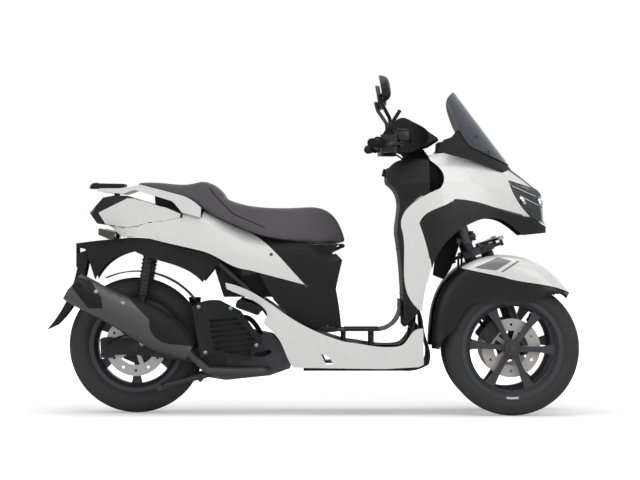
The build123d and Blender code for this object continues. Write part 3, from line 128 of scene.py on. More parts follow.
@dataclass(frozen=True)
class Finish:
    """One surface finish, made as a node material.

    Attributes:
        name: material name.
        slot: material slot of the record that it stands for; not used.
        colour: base colour, linear red, green and blue.
        rough: middle roughness.
        metal: metallic share.
        coat: clear coat weight.
        grain: kind of relief.
        scale: size of the relief, in repeats per metre.
        depth: relief strength.
        mottle: share by which the colour varies.
        wear: how much edges pale with use.
        alpha: opacity.
        gloss: specular level.
    """

    name: str
    slot: str
    colour: Colour
    rough: float = 0.5
    metal: float = 0.0
    coat: float = 0.0
    grain: Grain = Grain.NONE
    scale: float = 900.0
    depth: float = 0.1
    mottle: float = 0.06
    wear: float = 0.0
    alpha: float = 1.0
    gloss: float = 0.5

    def material(self) -> bpy.types.Material:
        """Make the material, or give back the one made before.

        Returns:
            The Blender material.
        """
        known = bpy.data.materials.get(self.name)
        if known:
            return known
        mat = bpy.data.materials.new(self.name)
        mat.use_nodes = True
        tree = mat.node_tree
        shader = tree.nodes["Principled BSDF"]
        fed(tree, shader, {
            "Metallic": self.metal,
            "Coat Weight": self.coat,
            "Coat Roughness": COAT_ROUGHNESS,
            "Alpha": self.alpha,
            "Specular IOR Level": self.gloss,
        })
        place = tree.nodes.new("ShaderNodeTexCoord").outputs["Object"]
        self._colour(tree, place, shader)
        self._roughness(tree, place, shader)
        self._relief(tree, place, shader)
        mat.diffuse_color = (*self.colour, 1.0)
        return mat

    def _noise(self, tree: Tree, place: Socket, scale: float, detail: float) -> Node:
        """Add a noise texture.

        Args:
            tree: node tree of the material.
            place: coordinates to read.
            scale: repeats per metre.
            detail: octaves.

        Returns:
            The noise node.
        """
        return fed(tree, "TexNoise", {"Scale": scale, "Detail": detail, "Vector": place})

    def _colour(self, tree: Tree, place: Socket, shader: Node) -> None:
        """Vary the base colour softly, with paler worn edges.

        Args:
            tree: node tree of the material.
            place: coordinates to read.
            shader: shader to feed.
        """
        noise = self._noise(tree, place, *MOTTLE_NOISE)
        dark = tuple(c * (1.0 - self.mottle) for c in self.colour)
        pale = tuple(min(1.0, c * (1.0 + self.mottle)) for c in self.colour)
        mix = tree.nodes.new("ShaderNodeMix")
        mix.data_type = "RGBA"
        fed(tree, mix, {"A": (*dark, 1.0), "B": (*pale, 1.0), "Factor": noise.outputs["Fac"]})
        result = mix.outputs["Result"]
        if self.wear > 0.0:
            geometry = tree.nodes.new("ShaderNodeNewGeometry")
            edge = remapped(tree, geometry.outputs["Pointiness"], EDGE_SPAN, (0.0, self.wear))
            bare = tuple(min(1.0, c * WORN_GAIN + WORN_LIFT) for c in self.colour)
            worn = tree.nodes.new("ShaderNodeMix")
            worn.data_type = "RGBA"
            fed(tree, worn, {"A": result, "B": (*bare, 1.0), "Factor": edge})
            result = worn.outputs["Result"]
        tree.links.new(result, shader.inputs["Base Color"])

    def _roughness(self, tree: Tree, place: Socket, shader: Node) -> None:
        """Vary the roughness, as handling and dust do.

        Args:
            tree: node tree of the material.
            place: coordinates to read.
            shader: shader to feed.
        """
        noise = self._noise(tree, place, *ROUGH_NOISE)
        spread = (self.rough * (1.0 - ROUGH_SPREAD), min(1.0, self.rough * (1.0 + ROUGH_SPREAD)))
        tree.links.new(remapped(tree, noise.outputs["Fac"], NOISE_SPAN, spread), shader.inputs["Roughness"])

    def _relief(self, tree: Tree, place: Socket, shader: Node) -> None:
        """Add the surface relief that the grain asks for.

        Args:
            tree: node tree of the material.
            place: coordinates to read.
            shader: shader to feed.
        """
        if self.grain is Grain.NONE:
            return
        if self.grain is Grain.LEATHER:
            pattern = tree.nodes.new("ShaderNodeTexVoronoi")
            pattern.feature = "DISTANCE_TO_EDGE"
            height = pattern.outputs["Distance"]
        elif self.grain is Grain.RINGS:
            pattern = tree.nodes.new("ShaderNodeTexWave")
            pattern.wave_type = "RINGS"
            pattern.rings_direction = "Y"
            pattern.inputs["Distortion"].default_value = RING_WAVER
            height = pattern.outputs["Fac"]
        elif self.grain is Grain.FINS:
            pattern = tree.nodes.new("ShaderNodeTexWave")
            pattern.wave_type = "BANDS"
            pattern.bands_direction = "X"
            height = pattern.outputs["Fac"]
        else:
            detail = CAST_DETAIL if self.grain is Grain.CAST else FINE_DETAIL
            pattern = self._noise(tree, place, self.scale, detail)
            height = pattern.outputs["Fac"]
        fed(tree, pattern, {"Scale": self.scale, "Vector": place})
        bump = fed(tree, "Bump", {"Strength": self.depth, "Distance": RELIEF_HEIGHT, "Height": height})
        fed(tree, shader, {"Normal": bump.outputs["Normal"]})


PEARL = Finish(
    "pearl_white", "white_panel", (0.745, 0.745, 0.74), rough=0.30, coat=0.5, mottle=0.012,
    grain=Grain.FINE, scale=2500, depth=0.02,
)
SATIN = Finish(
    "satin_black", "black_panel", (0.009, 0.009, 0.010), rough=0.36, gloss=0.25,
    grain=Grain.FINE, scale=1800, depth=0.05, wear=0.10,
)
GRAINED = Finish(
    "grained_black", "black_matt", (0.010, 0.010, 0.011), rough=0.62, gloss=0.2,
    grain=Grain.LEATHER, scale=900, depth=0.16, wear=0.12,
)
TYRE = Finish(
    "tyre_rubber", "tyre_rubber", (0.0065, 0.0065, 0.007), rough=0.7, gloss=0.14,
    grain=Grain.FINE, scale=1400, depth=0.2, mottle=0.2,
)
RUBBER = Finish(
    "soft_rubber", "grip_rubber", (0.010, 0.010, 0.011), rough=0.8, gloss=0.2,
    grain=Grain.FINE, scale=1600, depth=0.3, mottle=0.15,
)
WHEEL = Finish(
    "wheel_black", "wheel_black", (0.010, 0.010, 0.011), rough=0.3, gloss=0.4, coat=0.2,
    grain=Grain.CAST, scale=700, depth=0.05,
)
DISC = Finish(
    "disc_steel", "disc_steel", (0.27, 0.245, 0.225), rough=0.36, metal=1.0,
    grain=Grain.RINGS, scale=160, depth=0.10, mottle=0.12,
)
FRAME_PAINT = Finish(
    "frame_black", "frame_black", (0.012, 0.012, 0.012), rough=0.42, gloss=0.35,
    grain=Grain.CAST, scale=500, depth=0.08,
)
ALLOY = Finish(
    "cast_alloy", "engine_alloy", (0.085, 0.085, 0.09), rough=0.5, metal=0.55, gloss=0.3,
    grain=Grain.CAST, scale=900, depth=0.3, mottle=0.2, wear=0.3,
)
DARK_ALLOY = Finish(
    "dark_alloy", "fork_black", (0.022, 0.022, 0.024), rough=0.42, metal=0.4, gloss=0.3,
    grain=Grain.CAST, scale=900, depth=0.2, wear=0.2,
)
EXHAUST = Finish(
    "exhaust_black", "exhaust_black", (0.0095, 0.0095, 0.0105), rough=0.46, gloss=0.2,
    grain=Grain.CAST, scale=1200, depth=0.12, mottle=0.12,
)
VINYL = Finish(
    "seat_vinyl", "seat_vinyl", (0.0075, 0.007, 0.0095), rough=0.48, gloss=0.22,
    grain=Grain.LEATHER, scale=520, depth=0.22, mottle=0.08,
)
CORE = Finish(
    "radiator_core", "engine_alloy", (0.030, 0.031, 0.033), rough=0.4, metal=0.6,
    grain=Grain.FINS, scale=90, depth=0.9, mottle=0.2,
)
STITCH = Finish(
    "seat_piping", "seat_vinyl", (0.010, 0.010, 0.011), rough=0.6, gloss=0.3,
    grain=Grain.FINE, scale=3000, depth=0.3,
)
SMOKE = Finish("smoked_screen", "screen_smoke", (0.055, 0.060, 0.085), rough=0.06, alpha=0.72, mottle=0.02)
CLEAR = Finish(
    "clear_lens", "lamp_clear", (0.02, 0.022, 0.025), rough=0.03, alpha=0.42, mottle=0.02, coat=0.8,
)
RED_LENS = Finish("red_lens", "lamp_red", (0.22, 0.008, 0.008), rough=0.12, coat=0.6, mottle=0.1)
AMBER = Finish("turn_lens", "lamp_clear", (0.020, 0.018, 0.017), rough=0.10, coat=0.6, mottle=0.1)
REFLECTOR = Finish("lamp_housing", "lamp_inner", (0.030, 0.031, 0.034), rough=0.25, metal=0.3, mottle=0.1)
CHROME = Finish("lamp_chrome", "lamp_inner", (0.55, 0.57, 0.60), rough=0.10, metal=1.0, mottle=0.03)
LIGHT_BAR = Finish("light_bar", "lamp_clear", (0.42, 0.46, 0.50), rough=0.2, mottle=0.02)
MIRROR = Finish("mirror_glass", "link_steel", (0.16, 0.17, 0.18), rough=0.04, metal=1.0, mottle=0.02)
DISPLAY = Finish("display_glass", "black_panel", (0.010, 0.012, 0.014), rough=0.06, coat=1.0, mottle=0.05)
BAR = Finish(
    "bar_black", "bar_steel", (0.012, 0.012, 0.012), rough=0.35, gloss=0.4,
    grain=Grain.FINE, scale=900, depth=0.06,
)
STEEL = Finish(
    "plain_steel", "link_steel", (0.30, 0.30, 0.31), rough=0.33, metal=1.0,
    grain=Grain.FINE, scale=1500, depth=0.08, mottle=0.15,
)
DARK_STEEL = Finish(
    "dark_steel", "link_steel", (0.07, 0.07, 0.072), rough=0.38, metal=0.9,
    grain=Grain.FINE, scale=1500, depth=0.1, mottle=0.2,
)
GREY_STRIPE = Finish("grey_stripe", "black_panel", (0.16, 0.16, 0.17), rough=0.32, coat=0.4, mottle=0.03)
# Pale grey of a painted highlight on the lower lip of a rim.
PAINTED_RIM_HIGHLIGHT = Finish("pale_tape", "white_panel", (0.62, 0.62, 0.62), rough=0.45, mottle=0.03)


NODES_OF: dict[Finish, tuple[str, ...]] = {
    PEARL: ("front_cowls", "rear_cowls", "side_skirts", "grab_rail", "fender_cap_left", "fender_cap_right"),
    SATIN: ("nose_cowl", "arch_cowls", "tail_cover", "fender_left", "fender_right", "mirrors"),
    GRAINED: (
        "screen_surround", "leg_shield", "floor_board", "under_cowl", "seat_side_covers", "storage_box",
        "rear_fender", "rear_hugger", "handlebar_cover", "radiator_cover", "exhaust_shield", "seat_pan",
        "mud_flap", "backrest_pad",
    ),
    FRAME_PAINT: ("main_frame", "lean_arms", "uprights", "centre_stand", "side_stand"),
    DARK_ALLOY: ("fork_left", "fork_right", "swing_arm"),
    ALLOY: ("engine_block", "transmission_case"),
    BAR: ("rear_shocks", "handlebar", "brake_levers"),
    RUBBER: ("grips", "pillion_pegs"),
    TYRE: ("front_tyre_left", "front_tyre_right", "rear_tyre"),
    WHEEL: ("front_wheel_left", "front_wheel_right", "rear_wheel"),
    DISC: ("front_disc_left", "front_disc_right", "rear_disc"),
    CLEAR: ("headlamp_lenses",),
    REFLECTOR: ("headlamp_buckets",),
    SMOKE: ("windscreen",),
    VINYL: ("seat_cushion",),
    RED_LENS: ("rear_lamps",),
    AMBER: ("rear_indicators",),
    EXHAUST: ("exhaust",),
    CORE: ("radiator",),
    STEEL: ("tie_rod",),
}


def dress(obj: Body, finish: Finish) -> None:
    """Give a piece one finish all over.

    Args:
        obj: piece to dress.
        finish: finish to give it.
    """
    obj.data.materials.clear()
    obj.data.materials.append(finish.material())


def dress_frame() -> None:
    """Give every CAD node its finish."""
    for finish, names in NODES_OF.items():
        for name in names:
            dress(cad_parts[name], finish)


# ---------------------------------------------------------------- bench tools
ORIGIN = (0.0, 0.0, 0.0)
WELD_REACH = 0.00002
SHARP_ANGLE = math.radians(32.0)
HOSE_STEPS = 6
HOSE_FACETS = 3


def clear_selection() -> None:
    """Leave edit mode and deselect everything."""
    if bpy.context.object and bpy.context.object.mode != "OBJECT":
        bpy.ops.object.mode_set(mode="OBJECT")
    bpy.ops.object.select_all(action="DESELECT")


def take_up(obj: Body) -> None:
    """Make one object the only selected and active one.

    Args:
        obj: object to work on.
    """
    clear_selection()
    obj.select_set(True)
    bpy.context.view_layer.objects.active = obj


def edit_all(obj: Body) -> None:
    """Open an object in edit mode with everything selected.

    Args:
        obj: object to edit.
    """
    take_up(obj)
    bpy.ops.object.mode_set(mode="EDIT")
    bpy.ops.mesh.select_all(action="SELECT")


def edit_faces(obj: Body, test: Callable[[bpy.types.MeshPolygon], bool]) -> None:
    """Open an object in edit mode with the faces selected that pass a test.

    Args:
        obj: object to edit.
        test: says which faces are wanted.
    """
    edit_all(obj)
    bpy.ops.mesh.select_mode(type="FACE")
    bpy.ops.mesh.select_all(action="DESELECT")
    bpy.ops.object.mode_set(mode="OBJECT")
    for face in obj.data.polygons:
        face.select = test(face)
    bpy.ops.object.mode_set(mode="EDIT")


def set_place(obj: Body, place: Vector, axis: Vector) -> None:
    """Turn an object's own Z to an axis, set it at a place and apply both.

    Args:
        obj: object to place.
        place: where its origin goes.
        axis: direction for its Z axis.
    """
    turn = axis.to_track_quat("Z", "Y").to_matrix().to_4x4()
    obj.matrix_world = Matrix.Translation(place) @ turn
    take_up(obj)
    bpy.ops.object.transform_apply(location=True, rotation=True, scale=True)


def turned(name: str, place: Vector, axis: Vector, sections: Sequence[Spot], sides: int = 32) -> Body:
    """Make a round piece by extruding a disc and scaling it at each step.

    Args:
        name: piece name.
        place: centre of its foot.
        axis: direction it rises in.
        sections: radius and height of each step, from the foot up.
        sides: number of sides.

    Returns:
        The new object.
    """
    clear_selection()
    radius, height = sections[0]
    bpy.ops.mesh.primitive_circle_add(vertices=sides, radius=radius, fill_type="NGON", location=ORIGIN)
    obj = bpy.context.object
    obj.name = name
    edit_all(obj)
    for next_radius, next_height in sections[1:]:
        rise = next_height - height
        bpy.ops.mesh.extrude_region_move(TRANSFORM_OT_translate={"value": (0.0, 0.0, rise)})
        share = next_radius / radius
        centre = (0.0, 0.0, next_height - sections[0][1])
        bpy.ops.transform.resize(value=(share, share, 1.0), center_override=centre)
        radius, height = next_radius, next_height
    bpy.ops.mesh.select_all(action="SELECT")
    bpy.ops.mesh.normals_make_consistent(inside=False)
    bpy.ops.object.mode_set(mode="OBJECT")
    set_place(obj, place + axis.normalized() * sections[0][1], axis)
    return obj


def spun_ring(name: str, loop: Sequence[Spot], centre: Vector, steps: int) -> Body:
    """Spin a closed section about the Y axis through a centre.

    Args:
        name: piece name.
        loop: sideways place and radius of each corner of the section.
        centre: centre of the ring.
        steps: number of steps round.

    Returns:
        The new object.
    """
    clear_selection()
    bpy.ops.mesh.primitive_circle_add(vertices=len(loop), radius=0.01, location=ORIGIN)
    obj = bpy.context.object
    obj.name = name
    for corner, (side, radius) in zip(obj.data.vertices, loop):
        corner.co = centre + Vector((0.0, side, radius))
    edit_all(obj)
    bpy.ops.mesh.spin(steps=steps, angle=2.0 * math.pi, center=centre, axis=(0.0, 1.0, 0.0))
    bpy.ops.mesh.select_all(action="SELECT")
    bpy.ops.mesh.remove_doubles(threshold=WELD_REACH)
    bpy.ops.mesh.normals_make_consistent(inside=False)
    bpy.ops.object.mode_set(mode="OBJECT")
    return obj


def cut_plate(name: str, outline: Sequence[Spot], start: float, end: float) -> Body:
    """Fill a side outline and extrude it sideways.

    Args:
        name: piece name.
        outline: X and Z of each corner.
        start: Y of one face.
        end: Y of the other face.

    Returns:
        The new object.
    """
    clear_selection()
    bpy.ops.mesh.primitive_circle_add(vertices=len(outline), radius=0.01, location=ORIGIN)
    obj = bpy.context.object
    obj.name = name
    for corner, (x, z) in zip(obj.data.vertices, outline):
        corner.co = Vector((x, start, z))
    edit_all(obj)
    bpy.ops.mesh.edge_face_add()
    bpy.ops.mesh.extrude_region_move(TRANSFORM_OT_translate={"value": (0.0, end - start, 0.0)})
    bpy.ops.mesh.select_all(action="SELECT")
    bpy.ops.mesh.normals_make_consistent(inside=False)
    bpy.ops.object.mode_set(mode="OBJECT")
    return obj


def inset_plate(name: str, outline: Sequence[Spot], half: float, inset: Spot, edge: float) -> Body:
    """Make a plate across the middle of the vehicle with stepped flanks.

    Args:
        name: piece name.
        outline: X and Z of each corner.
        half: half of its width.
        inset: width of the step and how far it stands out.
        edge: width of the rounded edges.

    Returns:
        The new object.
    """
    plate = cut_plate(name, outline, -half, half)
    edit_faces(plate, lambda face: abs(face.normal.y) > 0.9)
    bpy.ops.mesh.inset(thickness=inset[0], depth=inset[1])
    bpy.ops.object.mode_set(mode="OBJECT")
    soften(plate, edge)
    return plate


def moulded_block(name: str, place: Vector, axis: Vector, size: Point, lip: float, sink: float) -> Body:
    """Make a block with a recessed face, as housings and lids have.

    Args:
        name: piece name.
        place: centre of its foot.
        axis: direction it rises in.
        size: width, length and height.
        lip: width of the rim round the recess.
        sink: depth of the recess, or less than zero for a raised face.

    Returns:
        The new object.
    """
    clear_selection()
    bpy.ops.mesh.primitive_cube_add(size=1.0, location=ORIGIN)
    obj = bpy.context.object
    obj.name = name
    edit_all(obj)
    bpy.ops.transform.resize(value=size, center_override=ORIGIN)
    bpy.ops.transform.translate(value=(0.0, 0.0, size[2] / 2.0))
    edit_faces(obj, lambda face: face.normal.z > 0.9)
    bpy.ops.mesh.inset(thickness=lip, depth=0.0)
    bpy.ops.mesh.inset(thickness=lip * 0.3, depth=-sink)
    bpy.ops.object.mode_set(mode="OBJECT")
    set_place(obj, place, axis)
    return obj


def hose(name: str, route: Sequence[Point], radius: float, soft: int = 3) -> Body:
    """Draw a tube along a smooth route and make it a mesh.

    Args:
        name: piece name.
        route: control points of the route.
        radius: radius of the tube.
        soft: order of the route's curve.

    Returns:
        The new object.
    """
    clear_selection()
    bpy.ops.curve.primitive_nurbs_path_add(location=ORIGIN)
    obj = bpy.context.object
    obj.name = name
    data = obj.data
    data.splines.clear()
    spline = data.splines.new("NURBS")
    spline.points.add(len(route) - 1)
    for point, place in zip(spline.points, route):
        point.co = (*place, 1.0)
    spline.order_u = soft
    spline.use_endpoint_u = True
    data.dimensions = "3D"
    data.resolution_u = HOSE_STEPS
    data.bevel_depth = radius
    data.bevel_resolution = HOSE_FACETS
    data.use_fill_caps = True
    take_up(obj)
    bpy.ops.object.convert(target="MESH")
    return bpy.context.object


def soften(obj: Body, width: float, segments: int = 2) -> None:
    """Round an object's sharp edges.

    Args:
        obj: object to round.
        width: width of the rounding.
        segments: number of facets in it.
    """
    take_up(obj)
    bevel = obj.modifiers.new("soft_edges", "BEVEL")
    bevel.width = width
    bevel.segments = segments
    bevel.limit_method = "ANGLE"
    bevel.angle_limit = SHARP_ANGLE
    bpy.ops.object.modifier_apply(modifier=bevel.name)


def joined(name: str, parts: Sequence[Body]) -> Body:
    """Join several objects into one.

    Args:
        name: name of the result.
        parts: objects to join.

    Returns:
        The joined object.
    """
    clear_selection()
    for part in parts:
        part.select_set(True)
    bpy.context.view_layer.objects.active = parts[0]
    if len(parts) > 1:
        bpy.ops.object.join()
    whole = bpy.context.view_layer.objects.active
    whole.name = name
    return whole


def copied(model: Body, place: Vector, axis: Vector) -> Body:
    """Copy a piece that stands at the origin to another place.

    Args:
        model: piece to copy.
        place: where the copy goes.
        axis: direction for its Z axis.

    Returns:
        The copy, with its own mesh.
    """
    twin = model.copy()
    twin.data = model.data.copy()
    bpy.context.scene.collection.objects.link(twin)
    set_place(twin, place, axis)
    return twin


def thrown_away(obj: Body) -> None:
    """Remove a model that was only there to be copied.

    Args:
        obj: object to remove.
    """
    bpy.data.objects.remove(obj, do_unlink=True)


def completed(obj: Body, finish: Finish, body: str, crease: float = HARD_CREASE) -> None:
    """Smooth and dress a finished piece and hang it on its body.

    Args:
        obj: finished mesh.
        finish: its finish.
        body: body that it moves with.
        crease: angle in degrees above which edges stay sharp.
    """
    take_up(obj)
    bpy.ops.object.transform_apply(location=True, rotation=True, scale=True)
    bpy.ops.object.shade_smooth_by_angle(angle=math.radians(crease))
    dress(obj, finish)
    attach(obj, body)
    LOG.info("%s on %s, %d faces", obj.name, body, len(obj.data.polygons))


class Probe:
    """Finds points on the surfaces of CAD nodes."""

    def __init__(self, *nodes: str) -> None:
        """Read the meshes of some nodes.

        Args:
            nodes: names of the nodes to feel for.
        """
        points: list[Vector] = []
        faces: list[tuple[int, ...]] = []
        for name in nodes:
            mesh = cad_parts[name].data
            first = len(points)
            points += [corner.co.copy() for corner in mesh.vertices]
            faces += [tuple(first + index for index in face.vertices) for face in mesh.polygons]
        self.tree = BVHTree.FromPolygons(points, faces)

    def touch(self, start: Vector, run: Vector) -> tuple[Vector, Vector]:
        """Feel along a line for the first surface.

        Args:
            start: where the line starts.
            run: its direction.

        Returns:
            The point that was met and the outward normal there.
        """
        place, normal, _, _ = self.tree.ray_cast(start, run)
        if place is None:
            raise ValueError(f"nothing lies ahead of {start}")
        if normal.dot(run) > 0.0:
            normal = -normal
        return place, normal


# -------------------------------------------------------------- sub-assemblies
RAKE = math.radians(20.0)
UPWARD = Vector((-math.sin(RAKE), 0.0, math.cos(RAKE)))
AHEAD = Vector((math.cos(RAKE), 0.0, math.sin(RAKE)))
KING_PIN_X = 0.8155
HALF_TRACK = 0.1925
HANDS = {"right": -1, "left": 1}
UP = Vector((0.0, 0.0, 1.0))
SIDEWAYS = Vector((0.0, 1.0, 0.0))


def on_column(ahead: float, height: float, side: float = 0.0) -> Vector:
    """Give a point in the raked frame of the king pins.

    Args:
        ahead: distance in front of the pins, square to them.
        height: distance along them.
        side: place to the left.

    Returns:
        The point in the frame.
    """
    return Vector((KING_PIN_X, side, 0.0)) + AHEAD * ahead + UPWARD * height


def mirrored(place: Point, side: int) -> Vector:
    """Give a point of the left side on either side.

    Args:
        place: the point on the left.
        side: -1 for its mirror image on the right and 1 for itself.

    Returns:
        The point in the frame.
    """
    return Vector((place[0], side * place[1], place[2]))


def centre_of(node: str) -> Vector:
    """Give the middle of a CAD node's box.

    Args:
        node: name of the node.

    Returns:
        The middle point.
    """
    low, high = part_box(node)
    return (low + high) / 2.0


TREAD_ROWS = 12.0
SHOULDER = 0.2


@dataclass
class Tyre:
    """A tyre with beads, bulged walls and a grooved tread.

    Attributes:
        node: CAD tyre that it stands for.
        body: wheel body.
        bead: radius of its inner edge.
        foot: half width at the rim.
        steps: steps round the tyre.
        groove: depth and edge width of the tread grooves.
        crown: share of the radius above which they lie.
        band: shares of the width between which they lie on each side.
        spacing: steps from one groove to the next.
        crease: angle in degrees above which its edges stay sharp.
    """

    node: str
    body: str
    bead: float
    foot: float
    steps: int = 132
    groove: Spot = (0.0028, 0.0022)
    crown: float = 0.955
    band: Spot = (0.05, 0.43)
    spacing: int = 11
    crease: float = 42.0

    def build(self) -> None:
        """Build the tyre over its CAD ring."""
        low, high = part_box(self.node)
        centre = (low + high) / 2.0
        radius = (high.z - low.z) / 2.0
        width = high.y - low.y
        tyre = spun_ring(f"{self.node}_treaded", self._section(radius, width), centre, self.steps)
        self._cut_tread(tyre, centre, radius, width)
        completed(tyre, TYRE, self.body, self.crease)
        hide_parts(self.node)

    def _section(self, radius: float, width: float) -> list[Spot]:
        """Lay out the section of the tyre as a closed loop.

        Args:
            radius: outer radius.
            width: full width.

        Returns:
            Sideways place and radius of each corner.
        """
        depth = radius - self.bead
        half = [
            (0.07 * width, radius - 0.002 * depth),
            (0.16 * width, radius - 0.020 * depth),
            (0.25 * width, radius - 0.065 * depth),
            (0.33 * width, radius - 0.135 * depth),
            (0.40 * width, radius - 0.235 * depth),
            (0.452 * width, radius - 0.345 * depth),
            (0.468 * width, radius - 0.375 * depth),
            (0.492 * width, radius - 0.48 * depth),
            (0.497 * width, radius - 0.56 * depth),
            (0.478 * width, radius - 0.70 * depth),
            (self.foot + 0.002, self.bead + 0.17 * depth),
            (self.foot + 0.0015, self.bead + 0.12 * depth),
            (self.foot, self.bead + 0.10 * depth),
            (self.foot - 0.001, self.bead + 0.001),
        ]
        return [(-side, r) for side, r in reversed(half)] + half

    def _cut_tread(self, tyre: Body, centre: Vector, radius: float, width: float) -> None:
        """Sink slanted grooves into the crown.

        Args:
            tyre: smooth tyre.
            centre: its centre.
            radius: its outer radius.
            width: its full width.
        """
        pitch = 2.0 * math.pi / self.steps
        half_pitch = self.spacing // 2
        depth, edge = self.groove

        def in_groove(face: bpy.types.MeshPolygon) -> bool:
            """Say whether a face lies in a slanted groove.

            Args:
                face: face of the crown or the wall.

            Returns:
                True where the groove runs.
            """
            arm = face.center - centre
            side = arm.y / width
            reach = math.hypot(arm.x, arm.z)
            if reach < radius * self.crown or not self.band[0] <= abs(side) <= self.band[1]:
                return False
            step = int(round(math.atan2(arm.z, arm.x) / pitch - 0.5))
            row = int(abs(side) * TREAD_ROWS)
            lead = step + (row if side > 0 else row + half_pitch)
            return lead % self.spacing == 0 or (lead % self.spacing == half_pitch and abs(side) > SHOULDER)

        edit_faces(tyre, in_groove)
        bpy.ops.mesh.inset(thickness=edge, depth=-depth, use_boundary=True)
        bpy.ops.object.mode_set(mode="OBJECT")


@dataclass
class Wheel:
    """Small parts of one wheel: hub cap, nut, valve, disc bolts and a painted highlight on the rim.

    Attributes:
        wheel: CAD wheel.
        disc: CAD disc.
        body: wheel body.
        outward: -1 where the wheel's open face is on the right, 1 on the left.
        rim_highlight: whether the rim carries a painted highlight, a pale arc on its lower lip.
        rim: inner radius of the rim's well.
        bolts: number of disc bolts.
        bolt_circle: radius that the bolts stand on.
        valve_turn: place of the valve round the wheel, in degrees.
        highlight_turn: first and last place of the painted highlight, in degrees.
        highlight_edge: how far inside the lip the painted highlight starts and ends.
        highlight_steps: steps along the painted highlight.
    """

    wheel: str
    disc: str
    body: str
    outward: int
    rim_highlight: bool
    rim: float
    bolts: int = 5
    bolt_circle: float = 0.0255
    valve_turn: float = 62.0
    highlight_turn: Spot = (-97.0, -83.0)
    highlight_edge: Spot = (0.003, 0.011)
    highlight_steps: int = 8

    def build(self) -> None:
        """Build every small part."""
        centre = centre_of(self.wheel)
        self._hub(centre)
        self._disc_bolts(centre)
        self._valve(centre)
        # Only a rim that asks for it gets the painted highlight.
        if self.rim_highlight:
            self._tape(centre)

    def _hub(self, centre: Vector) -> None:
        """Put the ribbed cap and the axle nut on the hub's open face.

        Args:
            centre: middle of the wheel.
        """
        run = SIDEWAYS * self.outward
        place, _ = Probe(self.wheel).touch(centre + run * 0.3 + Vector((0.013, 0.0, 0.010)), -run)
        foot = Vector((centre.x, place.y, centre.z))
        cap = turned(
            f"{self.wheel}_cap", foot, run,
            [
                (0.027, 0.0), (0.027, 0.003), (0.0235, 0.0055), (0.022, 0.0055),
                (0.0215, 0.004), (0.015, 0.004), (0.0145, 0.0072),
            ],
        )
        nut = turned(
            f"{self.wheel}_nut", foot, run,
            [
                (0.0125, 0.0065), (0.0125, 0.0085), (0.0105, 0.009), (0.0105, 0.0145),
                (0.0095, 0.0155), (0.0055, 0.0155), (0.0055, 0.013),
            ],
            6,
        )
        completed(cap, WHEEL, self.body)
        completed(nut, DARK_STEEL, self.body)

    def _disc_bolts(self, centre: Vector) -> None:
        """Ring the disc's carrier with button-headed bolts.

        Args:
            centre: middle of the wheel.
        """
        low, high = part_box(self.disc)
        hand = 1 if centre_of(self.disc).y > centre.y else -1
        face = high.y if hand > 0 else low.y
        model = turned(
            "disc_bolt", Vector(), UP,
            [
                (0.0062, -0.001), (0.0062, 0.0012), (0.0052, 0.003),
                (0.003, 0.0036), (0.0026, 0.0036), (0.0026, 0.0018),
            ],
            18,
        )
        heads = []
        for index in range(self.bolts):
            angle = 2.0 * math.pi * (index + 0.25) / self.bolts
            arm = Vector((math.cos(angle), 0.0, math.sin(angle))) * self.bolt_circle
            spot = Vector((centre.x + arm.x, face, centre.z + arm.z))
            heads.append(copied(model, spot, SIDEWAYS * hand))
        thrown_away(model)
        completed(joined(f"{self.disc}_bolts", heads), STEEL, self.body)

    def _valve(self, centre: Vector) -> None:
        """Stand the tyre's valve in the well of the rim.

        Args:
            centre: middle of the wheel.
        """
        angle = math.radians(self.valve_turn)
        out = Vector((math.cos(angle), 0.0, math.sin(angle)))
        valve = turned(
            f"{self.wheel}_valve", centre + out * (self.rim - 0.002), -out,
            [
                (0.006, 0.0), (0.0045, 0.005), (0.0032, 0.010), (0.0032, 0.020),
                (0.0042, 0.021), (0.0042, 0.030), (0.0034, 0.032),
            ],
            16,
        )
        completed(valve, RUBBER, self.body)

    def _tape(self, centre: Vector) -> None:
        """Lay a pale arc of painted highlight on the rim's lower lip.

        Args:
            centre: middle of the wheel.
        """
        low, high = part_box(self.wheel)
        edge = low.y if self.outward < 0 else high.y
        radius = (high.z - low.z) / 2.0
        start, end = self.highlight_turn
        steps = range(self.highlight_steps + 1)
        turns = [math.radians(start + (end - start) * index / self.highlight_steps) for index in steps]
        outer, inner = (
            [(centre.x + reach * math.cos(angle), centre.z + reach * math.sin(angle)) for angle in turns]
            for reach in (radius - edge_in for edge_in in self.highlight_edge)
        )
        outline = outer + inner[::-1]
        faces = (edge - self.outward * 0.0004, edge + self.outward * 0.0003)
        # Painted highlight: a thin pale plate on the lower lip of the rim.
        rim_highlight = cut_plate(f"{self.wheel}_tape", outline, *faces)
        completed(rim_highlight, PAINTED_RIM_HIGHLIGHT, self.body)


